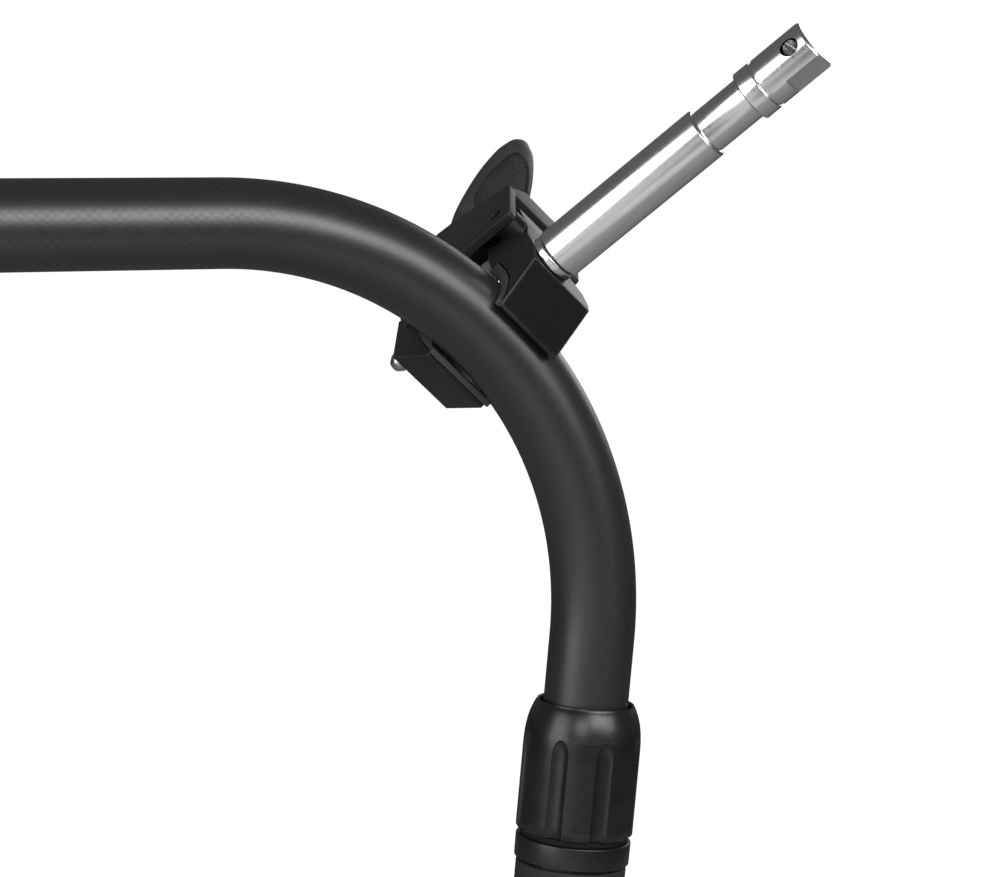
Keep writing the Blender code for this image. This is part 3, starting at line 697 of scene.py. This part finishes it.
def tip():
    """The end fitting with its threaded stud and knurled lock nut."""
    straight_tube("carbon_tip_tube", "tip_tube", ARM, 1.2, "tip")
    low, high = extent("tip_head", ARM)
    tube_end = extent("tip_tube", ARM)[1].z
    radius = high.y
    plug = radius_of("tip_tube", ARM) - 1.5
    head = [(3.6, low.z), (plug, low.z), (plug, tube_end + 0.3), (radius - 0.5, tube_end + 0.3),
            (radius, tube_end + 1.2), (radius, tube_end + 4.0), (radius - 0.6, tube_end + 4.3),
            (radius - 0.6, tube_end + 4.9), (radius, tube_end + 5.2), (radius, high.z - 1.0, 0.5),
            (radius - 0.9, high.z, 0.3), (5.0, high.z), (5.0, low.z + 12.0), (3.6, low.z + 12.0)]
    piece("tip_end_fitting", sleeve(head, 0.12, 128), ARM, ALUMINIUM, "tip", ["tip_head"])

    low, high = extent("tip_stud", ARM)
    pitch, depth = 1.5875, 0.75
    major = high.y
    rows = [(0.0, low.z)]
    steps = int((high.z - low.z) / (pitch / 12.0))
    rows += [(major, low.z + (high.z - low.z) * step / steps) for step in range(steps + 1)]
    rows.append((0.0, high.z))

    def thread(angle, r, z):
        phase = ((z - low.z) / pitch - angle / (math.tau)) % 1.0
        groove = depth * (1.0 - abs(2.0 * phase - 1.0))
        ends = min(1.0, (high.z - z) / 1.2, (z - low.z) / 1.2)
        return r - max(groove, (1.0 - ends) * depth)

    piece("tip_threaded_stud", turned(rows, 72, shape=thread), ARM, STEEL, "tip", ["tip_stud"], sharp=60.0)

    low, high = extent("tip_lock_nut", ARM)
    radius = high.y
    span = high.z - low.z
    rows = [(5.0, low.z), (radius - 1.0, low.z), (radius - 0.3, low.z + 0.6)]
    rows += [(radius, low.z + 0.9 + (span - 1.8) * step / 14.0) for step in range(15)]
    rows += [(radius - 0.3, high.z - 0.6), (radius - 1.0, high.z), (5.0, high.z)]

    def knurl(angle, r, z):
        if r < radius - 0.01:
            return r
        around = angle * 30.0
        along = math.tau * (z - low.z) / 1.5
        return r - 0.16 * (abs(math.sin((around + along) / 2.0)) + abs(math.sin((around - along) / 2.0)))

    piece("tip_knurled_nut", turned(rows, 360, closed=True, shape=knurl), ARM, ANODISED, "tip_nut",
          ["tip_lock_nut"], sharp=50.0)


# ---------------------------------------------------------------- clamp

JAW_PIVOT = joint_place("jaw_open", CLAMP).yz
LEVER_PIVOT = joint_place("lever_swing", CLAMP).yz
FRAME_LOW, FRAME_HIGH = extent("clamp_frame", CLAMP)
CHEEK_OUT = FRAME_HIGH.x
CHEEK_IN = CHEEK_OUT - 3.0
PAD_HALF = extent("fixed_jaw_pad", CLAMP)[1].x
JAW_HALF = extent("fixed_jaw", CLAMP)[1].x - 0.7
PIN_HOLE = 2.3
ADJUSTER = sum(extent("adjusting_screw", CLAMP), Vector()) / 2.0
SPIGOT_AXIS = sum(extent("spigot_washer", CLAMP), Vector()) / 2.0
UP = (0.0, 1.0, 0.0)


def hole(radius, place):
    return cross_rod(radius, place, -24.0, 24.0, 0.0, 48)


def bush(radius, place, half):
    """A round boss along x that is bored for a pin."""
    profile = [(PIN_HOLE, -half), (radius, -half, 0.4), (radius, half, 0.4), (PIN_HOLE, half)]
    return lay_across(sleeve(profile, 0.05, 64), place)


def plan_prism(outline, low, high, edge=0.0):
    """Extrude an (x, z) outline along y."""
    bm = prism([(-x, z) for x, z in outline], low, high, 0.0, edge)
    spin(bm, Matrix.Rotation(math.pi / 2.0, 3, "Z"))
    return bm


def mirrored(half):
    return half + [(-x, z) for x, z in reversed(half)]


def clamp_frame():
    """The channel: two flat cheeks and a thick web, with crisp machined edges."""
    top, bottom, back = FRAME_HIGH.y, FRAME_LOW.y, FRAME_LOW.z
    cheek = [(top, -36.6, 1.2), (-15.0, -37.6), (-18.5, -29.0), (-24.5, -29.0), (bottom, -38.5),
             (bottom, back, 2.5), (-10.0, back), (-4.7, -65.4), (3.7, -63.2, 4.0), (top, -58.0, 1.5)]
    low, high = LEVER_PIVOT[0] - 4.5, LEVER_PIVOT[0] + 2.3
    slot = [(low, LEVER_PIVOT[1] - 2.3), (high, LEVER_PIVOT[1] - 2.3), (high, LEVER_PIVOT[1] + 2.3),
            (low, LEVER_PIVOT[1] + 2.3)]
    sides = []
    for near, far in ((-CHEEK_OUT, -CHEEK_IN), (CHEEK_IN, CHEEK_OUT)):
        plate = prism(cheek, near, far, 1.0, 0.35)
        sides.append(carve(plate, hole(PIN_HOLE, JAW_PIVOT), prism(slot, -20.0, 20.0, 2.2)))
    web_half = [(CHEEK_IN + 0.5, -55.6), (CHEEK_IN + 0.5, -59.7), (8.0, back + 0.3)]
    web = plan_prism(mirrored(web_half), -1.0, top - 0.4, 0.3)
    piece("clamp_channel", fuse(*sides, web), CLAMP, CHANNEL, "clamp", ["clamp_frame"])


def liner(name, node, outline, body, *beads):
    """A jaw's rubber liner with rounded rims, and the raised beads at its ends."""
    low, high = extent(node, CLAMP)
    shapes = [prism(outline, low.x, high.x, 0.55, 0.4), *beads]
    piece(name, fuse(*shapes), CLAMP, PAD_RUBBER, body, [node])


def fixed_jaw():
    """The jaw below the tube, its tail between the cheeks and the lands that its screws hold."""
    jaw = [(-9.0, -31.5), (-9.0, -22.0), (-16.0, -18.4), (-20.2, -16.0), (-19.9, -11.5), (-18.9, -6.5),
           (-17.5, -2.2), (-15.9, 3.0), (-15.5, 4.3), (-16.9, 4.5), (-31.4, -13.5, 1.0), (-29.9, -35.5),
           (-24.4, -35.5), (-24.4, -34.6), (-20.0, -34.6), (-20.0, -31.5)]
    tail = CHEEK_IN - 0.3
    adjuster_hole = aim(rod(2.6, -35.0, -20.0, 0.0), UP, (0.0, 0.0, ADJUSTER.z))
    shapes = [prism(jaw, -JAW_HALF, JAW_HALF, 0.25, 0.3)]
    shapes.append(carve(block((-tail, tail), (-28.3, -24.3), (-45.0, -34.0)), adjuster_hole))
    for side in (-1.0, 1.0):
        near, far = sorted((side * 8.5, side * tail))
        shapes.append(block((near, far), (-28.2, -20.5), (-54.0, -46.0), 0.5))
        shapes.append(block((near, far), (-28.1, -24.4), (-47.0, -44.0)))
        near, far = sorted((side * 11.0, side * tail))
        shapes.append(block((near, far), (-27.0, -20.3), (-34.5, -29.0)))
    piece("fixed_jaw_casting", fuse(*shapes), CLAMP, COAT, "clamp", ["fixed_jaw"])
    # A thin near-black sheet on the jaw's top between the tube and the nose: painted shade where that surface
    # lies in shadow.
    seat = block((-10.5, 10.5), (-9.1, -8.7), (-31.2, -22.3), 0.1)
    piece("fixed_jaw_painted_shade_sheet", seat, CLAMP, SHADE_SHEET_BLACK, "clamp", [])
    pad = [(-11.2, -15.0), (-13.7, -6.5), (-14.4, -1.0), (-14.0, 3.0), (-12.9, 5.5), (-15.0, 6.1),
           (-15.25, 4.6), (-15.45, 3.0), (-17.2, -2.4), (-18.6, -6.6), (-19.6, -11.5), (-19.6, -15.3)]
    liner("fixed_jaw_liner", "fixed_jaw_pad", pad, "clamp")


def moving_jaw():
    """The upper jaw: a wedge nose under the spigot, and a plate back to the hinge and its prongs."""
    lip, crest = Vector((12.9, 11.3)), Vector((26.5, -1.5))
    nose = [(*lip, 0.3), (*crest, 0.3), (26.5, -9.0), (25.6, -14.0, 4.0), (24.2, -21.0, 4.0),
            (21.8, -26.4, 3.0), (19.3, -29.2, 2.0), (13.0, -31.8, 1.0), (7.4, -34.2, 0.6), (7.8, -26.5),
            (8.9, -19.5), (12.6, -18.0), (15.4, -8.6), (16.5, -2.0), (16.0, 4.0), (13.3, 9.6), (11.8, 10.9)]
    corner = [(13.0, -2.5), (5.5, -15.5), (5.5, -33.0), (14.0, -33.0), (14.0, -2.5)]
    socket = aim(rod(4.3, 17.0, 40.0, 0.0), UP, (SPIGOT_AXIS.x, 0.0, SPIGOT_AXIS.z))
    plate = plan_prism(mirrored([(11.2, -48.6), (7.4, -41.0), (7.4, -30.5)]), 8.6, 19.9, 0.3)
    shapes = [carve(prism(nose, -JAW_HALF, JAW_HALF, 0.5, 0.3), plan_prism(corner, 20.0, 30.0), socket),
              carve(plate, hole(PIN_HOLE, JAW_PIVOT)), bush(5.4, JAW_PIVOT, 12.3)]
    prong = [(14.5, -46.2), (-15.0, -47.0), (-15.0, -49.8), (12.5, -49.8), (15.0, -48.0)]
    for side in (-1.0, 1.0):
        shapes.append(prism(prong, *sorted((side * 5.0, side * 9.0)), 0.5, 0.3))
    piece("moving_jaw_casting", fuse(*shapes), CLAMP, COAT, "moving_jaw", ["moving_jaw"])
    pad = [(11.0, 9.1), (13.0, 8.9), (15.5, 3.8), (16.1, -1.9), (15.0, -8.4), (12.2, -17.6), (9.3, -17.2),
           (12.9, -6.0), (13.45, 0.0), (12.9, 5.0)]
    bead = [(10.6, 8.9), (13.0, 8.9), (15.5, 3.8), (16.1, -1.9), (15.0, -8.4), (12.2, -17.6), (8.4, -16.9),
            (12.4, -5.8), (13.0, 0.0), (12.5, 4.9)]
    ends = [sorted((side * (PAD_HALF - 1.8), side * PAD_HALF)) for side in (-1.0, 1.0)]
    beads = [prism(bead, low, high, 0.5, 0.4) for low, high in ends]
    liner("moving_jaw_liner", "moving_jaw_pad", pad, "moving_jaw", *beads)

    along = (crest - lip).normalized()
    out = Vector((along.y, -along.x))
    start, end = lip + along * 0.45, crest - along * 0.45
    section = [start - out * 0.4, end - out * 0.4, end + out * 0.08, start + out * 0.08]
    panel = prism([tuple(point) for point in section], 0.45 - JAW_HALF, JAW_HALF - 0.45)
    piece("moving_jaw_textured_face", panel, CLAMP, CAST, "moving_jaw", [])


def spigot():
    """The bright stand spigot, cross-drilled and with one milled flat on its head."""
    seat = (SPIGOT_AXIS.x, 0.0, SPIGOT_AXIS.z)
    low, high = extent("spigot_washer", CLAMP)
    radius = (high.x - low.x) / 2.0 - 0.6
    collar = [(4.4, low.y), (radius, low.y, 0.3), (radius, high.y, 0.5), (4.4, high.y)]
    piece("spigot_seat_ring", aim(sleeve(collar, 0.1, 128), UP, seat), CLAMP, ALUMINIUM, "moving_jaw",
          ["spigot_washer"])
    start = high.y + 0.3
    foot, top = extent("spigot", CLAMP)[0].y, extent("spigot", CLAMP)[1].y
    profile = [(0.0, foot), (4.0, foot), (4.0, start), (7.75, start, 0.25), (8.0, start + 0.5, 0.2),
               (8.0, 86.7, 0.2), (7.4, 87.3, 0.2), (6.7, 87.3, 0.25), (6.7, 103.4, 0.25), (7.6, 103.4, 0.2),
               (8.0, 103.8, 0.2), (8.0, 108.6, 0.2), (7.6, 109.0, 0.15), (7.45, 109.0, 0.1),
               (7.45, 110.0, 0.1), (7.8, 110.0, 0.1), (7.85, 110.2, 0.1), (7.85, top - 0.8, 0.3),
               (7.1, top, 0.3), (6.0, top), (0.0, top)]
    drilling = math.radians(50.0)
    direction = Vector((-math.sin(drilling), 0.0, math.cos(drilling)))
    drilled = Vector((seat[0], 122.1, seat[2]))
    cuts = [aim(rod(2.25, -12.0, 12.0, 0.0, 48), direction, drilled)]
    for side in (-1.0, 1.0):
        countersink = turned([(0.0, 6.3), (2.0, 6.9), (3.6, 8.5), (0.0, 8.5)], 48)
        cuts.append(aim(countersink, direction * side, drilled))
    flat = block((-12.0, 12.0), (115.5, 130.0), (6.65, 14.0))
    spin(flat, Matrix.Rotation(math.radians(35.0), 3, "Y"))
    bmesh.ops.translate(flat, verts=flat.verts, vec=seat)
    cuts.append(flat)
    body = carve(aim(spindle(profile, 0.05, 144), UP, seat), *cuts)
    piece("bright_spigot", body, CLAMP, ALUMINIUM, "moving_jaw", ["spigot"], sharp=25.0)


# Along the lever: z, then its height, half width and half thickness.
LEVER_LINE = [(-42.5, -10.0, 4.5, 3.0), (-51.0, -10.3, 4.5, 3.0), (-58.0, -10.5, 5.5, 3.0),
              (-64.0, -10.4, 8.2, 3.0), (-70.0, -9.7, 10.8, 3.0), (-76.0, -8.3, 12.1, 3.0),
              (-82.5, -6.3, 12.5, 3.0), (-93.0, -1.8, 12.2, 3.0), (-104.0, 2.8, 11.1, 3.0),
              (-112.0, 6.2, 9.7, 2.9), (-118.0, 8.7, 8.3, 2.8), (-123.0, 10.7, 6.5, 2.6),
              (-127.0, 12.3, 4.6, 1.9), (-130.0, 13.2, 2.0, 0.9)]
# Along the thumb pad: z and its half width.
PAD_LINE = [(-85.4, 0.3), (-85.8, 3.2), (-86.8, 6.2), (-88.6, 8.4), (-91.5, 9.5), (-96.0, 9.6),
            (-101.0, 9.1), (-106.0, 8.1), (-111.0, 6.8), (-115.0, 5.5), (-118.0, 4.2), (-120.0, 2.9),
            (-121.2, 1.5), (-121.7, 0.3)]
PAD_DEPTH = 0.9


def blend_row(table, z):
    """Smoothly interpolate a table of (z, values...) rows by a Catmull-Rom curve in its first column."""
    rows = sorted(table)
    z = min(max(z, rows[0][0]), rows[-1][0])
    index = max(i for i in range(len(rows) - 1) if rows[i][0] <= z)
    p1, p2 = rows[index], rows[index + 1]
    p0 = rows[max(index - 1, 0)]
    p3 = rows[min(index + 2, len(rows) - 1)]
    t = (z - p1[0]) / (p2[0] - p1[0])
    values = []
    for k in range(1, len(p1)):
        slope1 = (p2[k] - p0[k]) / (p2[0] - p0[0]) * (p2[0] - p1[0])
        slope2 = (p3[k] - p1[k]) / (p3[0] - p1[0]) * (p2[0] - p1[0])
        a, b = 2 * t ** 3 - 3 * t ** 2 + 1, t ** 3 - 2 * t ** 2 + t
        c, d = -2 * t ** 3 + 3 * t ** 2, t ** 3 - t ** 2
        values.append(a * p1[k] + b * slope1 + c * p2[k] + d * slope2)
    return values


def lever_station(z):
    """The lever's height, half width, half thickness and upward normal at z."""
    y, half, thick = blend_row(LEVER_LINE, z)
    ahead, back = blend_row(LEVER_LINE, z - 0.5)[0], blend_row(LEVER_LINE, z + 0.5)[0]
    along = Vector((ahead - back, -1.0)).normalized()
    return y, half, thick, Vector((-along.y, along.x))


def lever_skin(x, half, thick):
    return thick * max(0.0, 1.0 - abs(x / half) ** 2.7) ** 0.5


def loft_rows(rings):
    """Skin a stack of closed rings of points and cap its ends."""
    bm = bmesh.new()
    stack = [[bm.verts.new(point) for point in ring] for ring in rings]
    count = len(stack[0])
    for lower, upper in zip(stack, stack[1:]):
        for step in range(count):
            after = (step + 1) % count
            bm.faces.new((lower[step], lower[after], upper[after], upper[step]))
    bm.faces.new(stack[0])
    bm.faces.new(stack[-1])
    return bm


def lever():
    """The cam lever: a broad paddle whose face is recessed for a grained rubber pad."""
    pad_start, pad_end, tip_end = PAD_LINE[0][0], PAD_LINE[-1][0], LEVER_LINE[-1][0]
    zs = [LEVER_LINE[0][0] - 1.45 * step for step in range(30)]
    zs += [pad_start - (pad_start - pad_end) * step / 60.0 for step in range(61)]
    zs += [pad_end - 0.1 - (pad_end - tip_end) * step / 14.0 for step in range(14)] + [tip_end]
    zs = sorted({round(z, 3) for z in zs if z >= tip_end}, reverse=True)
    across_edge = [1.0, 0.985, 0.955, 0.91, 0.85]
    rings = []
    for z in zs:
        y, half, thick, normal = lever_station(z)
        recessed = pad_end < z < pad_start
        inner = max(0.05, blend_row(PAD_LINE, z)[0]) if recessed else 0.05
        lip = min(inner + 0.4, 0.82 * half)
        floor = min(inner, lip - 0.02)
        left = [-part * half for part in across_edge] + [-lip - 0.3 * (0.85 * half - lip), -lip, -floor]
        fronts = left + [floor * part for part in (-0.6, -0.2, 0.2, 0.6)] + [-x for x in reversed(left)]
        rows = []
        for x in fronts:
            sunk = PAD_DEPTH if recessed and abs(x) <= floor + 1e-6 else 0.0
            rows.append((x, lever_skin(x, half, thick) - sunk))
        rows += [(part * half, -lever_skin(part * half, half, thick))
                 for part in (0.95, 0.85, 0.6, 0.3, 0.0, -0.3, -0.6, -0.85, -0.95)]
        rings.append([(x, y + normal.x * h, z + normal.y * h) for x, h in rows])
    lobe_angle = math.radians(50.0)
    lobe = (LEVER_PIVOT[0] - 2.0 * math.sin(lobe_angle), LEVER_PIVOT[1] - 2.0 * math.cos(lobe_angle))
    shapes = [loft_rows(rings), bush(7.0, LEVER_PIVOT, 4.6)]
    shapes.append(carve(cross_rod(5.4, lobe, -9.0, 9.0, 0.3), hole(PIN_HOLE, LEVER_PIVOT)))
    piece("lever_paddle", fuse(*shapes), CLAMP, PADDLE, "lever", ["lever"], sharp=40.0)

    rings = []
    for step in range(57):
        z = pad_start - 0.25 - (pad_start - pad_end - 0.5) * step / 56.0
        y, half, thick, normal = lever_station(z)
        inner = max(0.2, blend_row(PAD_LINE, z)[0] - 0.15)
        ends = min(1.0, 0.2 + step / 4.0, 0.2 + (56 - step) / 4.0)
        rows = []
        for across in range(17):
            part = -1.0 + across / 8.0
            crown = 0.5 * ends * max(0.0, 1.0 - abs(part) ** 5.0) ** 0.5
            rows.append((inner * part, lever_skin(inner * part, half, thick) - PAD_DEPTH + crown + 0.1))
        rows += [(-rows[index][0], rows[index][1] - 0.3) for index in (0, 8, 16)]
        rings.append([(x, y + normal.x * h, z + normal.y * h) for x, h in rows])
    piece("lever_thumb_pad", loft_rows(rings), CLAMP, LEVER_RUBBER, "lever", [], sharp=50.0)


def fasteners():
    """Rolled pins, cap screws with hexagon sockets, the yoke and the domed adjusting screw."""
    for name, node, place, body in (("jaw_hinge_pin", "jaw_pivot_pin", JAW_PIVOT, "clamp"),
                                    ("lever_cross_pin", "lever_pin", LEVER_PIVOT, "yoke")):
        low, high = extent(node, CLAMP)
        radius = (high.y - low.y) / 2.0
        bore = radius - 0.55
        section = [(bore, low.x), (radius, low.x, 0.3), (radius, high.x, 0.3), (bore, high.x)]
        piece(name, lay_across(sleeve(section, 0.1, 64), place), CLAMP, ANODISED, body, [node])
    for number in range(1, 5):
        node = f"jaw_screw_{number}"
        low, high = extent(node, CLAMP)
        side = 1.0 if high.x > 0.0 else -1.0
        place = ((low + high) / 2.0).yz
        inner, outer = sorted((abs(low.x), abs(high.x)))
        head_low = CHEEK_OUT + 0.3
        profile = [(0.0, inner), (1.5, inner), (1.5, head_low), (2.8, head_low, 0.2), (2.8, 17.2, 0.5),
                   (2.2, outer, 0.4), (0.0, outer)]
        socket = turned([(0.0, outer - 1.1), (1.15, outer - 1.0), (1.15, outer + 1.0), (0.0, outer + 1.0)], 6)
        screw = lay_across(carve(spindle(profile, 0.05, 48), socket), place, side)
        piece(f"cap_screw_{number}", screw, CLAMP, ANODISED, "clamp", [node])

    low, high = extent("lever_yoke", CLAMP)
    base = [(low.y, -35.0), (-17.8, -35.0), (-17.8, -41.2), (-21.5, -45.0), (low.y, -45.0)]
    ear = [(-18.5, -44.9), (-18.5, -35.1), (-8.0, -35.1, 4.0), (high.y, -37.5, 4.0), (high.y, -42.5, 4.0),
           (-8.0, -44.9, 4.0)]
    adjuster_hole = aim(rod(2.6, -30.0, -15.0, 0.0), UP, (0.0, 0.0, ADJUSTER.z))
    shapes = [carve(prism(base, low.x, high.x, 0.3, 0.25), adjuster_hole)]
    for side in (-1.0, 1.0):
        near, far = sorted((side * 9.4, side * (high.x - 0.05)))
        shapes.append(carve(prism(ear, near, far, 0.3, 0.2), hole(PIN_HOLE, LEVER_PIVOT)))
    piece("lever_carrier", fuse(*shapes), CLAMP, ANODISED, "yoke", ["lever_yoke"])

    low, high = extent("adjusting_screw", CLAMP)
    dome = low.y - 2.0
    profile = [(0.0, dome), (1.7, dome, 1.2), (3.2, dome + 2.2, 1.6), (3.2, -30.1, 0.1), (4.0, -30.1, 0.2),
               (4.0, -28.6, 0.2), (2.3, -28.6), (2.3, high.y - 0.4, 0.2), (1.9, high.y), (0.0, high.y)]
    piece("domed_adjuster", aim(spindle(profile, 0.05, 96), UP, (0.0, 0.0, ADJUSTER.z)), CLAMP, STEEL,
          "adjuster", ["adjusting_screw"])


def jaw_spring():
    """A round-wire compression spring between the jaws."""
    low, high = extent("jaw_spring", CLAMP)
    centre = (low + high) / 2.0
    wire = 0.4
    coil = (high.x - low.x) / 2.0 - wire
    turns, per_turn, sides = 6, 36, 12
    count = turns * per_turn
    rings = []
    for step in range(count + 1):
        angle = math.tau * step / per_turn
        rise = low.y + wire + (high.y - low.y - 2.0 * wire) * step / count
        outward = Vector((math.cos(angle), 0.0, math.sin(angle)))
        spot = outward * coil + Vector((centre.x, rise, centre.z))
        ring = []
        for side in range(sides):
            around = math.tau * side / sides
            ring.append(spot + (outward * math.cos(around) + Vector(UP) * math.sin(around)) * wire)
        rings.append(ring)
    piece("jaw_opening_spring", loft_rows(rings), CLAMP, STEEL, "clamp", ["jaw_spring"])


def carried_over():
    """CAD nodes that show little or nothing keep their shape and get a finished material."""
    hidden = ["grip_tube", "grip_lock_collet", "arm_lock_collet", "arm_tube_bush", "tip_tube_bush"]
    for node in hidden:
        material = CARBON if node == "grip_tube" else ACETAL
        shown = frame["nodes"][node]
        shown.data.materials.clear()
        shown.data.materials.append(material)


# ---------------------------------------------------------------- studio and camera

CAMERA_TARGET = Vector((-0.0438, -0.0188, 0.4012))
CAMERA_DISTANCE = 0.80
CAMERA_TURN = math.radians(22.36)
CAMERA_RISE = math.radians(5.35)
CAMERA_ROLL = math.radians(5.14)
CAMERA_LENS = 99.0
ROOM_GLOW = 0.11
# Softboxes: name, turn and rise from the camera target (degrees), distance, size (metres) and power (watts).
SOFTBOXES = [("left_box", -74.0, 8.0, 1.2, (0.80, 0.90), 6.6),
             ("front_box", 8.0, 29.0, 1.2, (0.55, 0.55), 5.7),
             ("rear_box", 130.0, 20.0, 1.2, (0.60, 0.50), 1.9),
             ("low_left_card", -46.0, -16.0, 0.9, (0.50, 0.45), 0.34),
             ("low_front_card", -14.0, -44.0, 0.55, (0.40, 0.35), 0.13),
             ("lens_box", -26.0, 17.0, 1.2, (0.50, 0.45), 2.8),
             ("right_box", 33.0, 21.0, 1.2, (0.45, 0.50), 3.5)]


def toward(turn, rise):
    """The direction that is turned to the right of the front, and risen above it, by these angles."""
    return Vector((math.sin(turn) * math.cos(rise), -math.cos(turn) * math.cos(rise), math.sin(rise)))


def camera():
    data = bpy.data.cameras.new("camera")
    data.lens = CAMERA_LENS
    data.sensor_width = 36.0
    data.clip_start, data.clip_end = 0.01, 50.0
    made = bpy.data.objects.new("camera", data)
    bpy.context.scene.collection.objects.link(made)
    back = toward(-CAMERA_TURN, CAMERA_RISE)
    made.location = CAMERA_TARGET + back * CAMERA_DISTANCE
    level = (-back).to_track_quat("-Z", "Y")
    made.rotation_mode = "QUATERNION"
    made.rotation_quaternion = level @ Matrix.Rotation(CAMERA_ROLL, 3, "Z").to_quaternion()
    bpy.context.scene.camera = made


def area_light(name, target, turn, rise, distance, size, power):
    """A softbox that looks at a point. turn and rise are its direction from the point, in degrees."""
    data = bpy.data.lights.new(name, "AREA")
    data.shape = "RECTANGLE"
    data.size, data.size_y = size
    data.energy = power
    made = bpy.data.objects.new(name, data)
    bpy.context.scene.collection.objects.link(made)
    back = toward(math.radians(turn), math.radians(rise))
    made.location = target + back * distance
    made.rotation_euler = (-back).to_track_quat("-Z", "Y").to_euler()
    made.visible_camera = False


def seen_only(tree, low, high, target):
    """Give a strength its high value where the camera looks straight at it, and its low value as light."""
    rays = tree.nodes.new("ShaderNodeLightPath")
    strength = tree.nodes.new("ShaderNodeMapRange")
    strength.inputs["To Min"].default_value = low
    strength.inputs["To Max"].default_value = high
    tree.links.new(rays.outputs["Is Camera Ray"], strength.inputs["Value"])
    tree.links.new(strength.outputs["Result"], target)


def studio():
    """A white room and floor that are bright to the eye but dim as light, and the softboxes."""
    scene = bpy.context.scene
    scene.view_settings.view_transform = "Standard"
    world = bpy.data.worlds.new("white_studio")
    scene.world = world
    world.use_nodes = True
    background = world.node_tree.nodes["Background"]
    background.inputs["Color"].default_value = (1.0, 1.0, 1.0, 1.0)
    seen_only(world.node_tree, ROOM_GLOW, 1.0, background.inputs["Strength"])
    for name, turn, rise, distance, size, power in SOFTBOXES:
        area_light(name, CAMERA_TARGET, turn, rise, distance, size, power)
    bm = bmesh.new()
    size = 60000.0
    bm.faces.new([bm.verts.new((x, y, 0.0)) for x, y in ((-size, -size), (size, -size), (size, size),
                                                         (-size, size))])
    floor = to_object("studio_floor", bm, Matrix.Translation((0.0, 0.0, -0.0005)))
    paper = Finish("pale_paper", (0.35, 0.35, 0.35), 0.8, Emission_Color=(1.0, 1.0, 1.0, 1.0))
    grain = paper.noise(paper.coordinates("Object"), 40.0, 2.0)
    paper.colour(paper.mix(grain, (0.34, 0.34, 0.34), (0.36, 0.36, 0.36)))
    seen_only(paper.tree, 0.0, 1.0, paper.shader.inputs["Emission Strength"])
    floor.data.materials.append(paper.material)


carbon_arm()
grip()
locks()
tip()
clamp_frame()
fixed_jaw()
moving_jaw()
spigot()
lever()
fasteners()
jaw_spring()
carried_over()
camera()
studio()
bpy.context.view_layer.update()
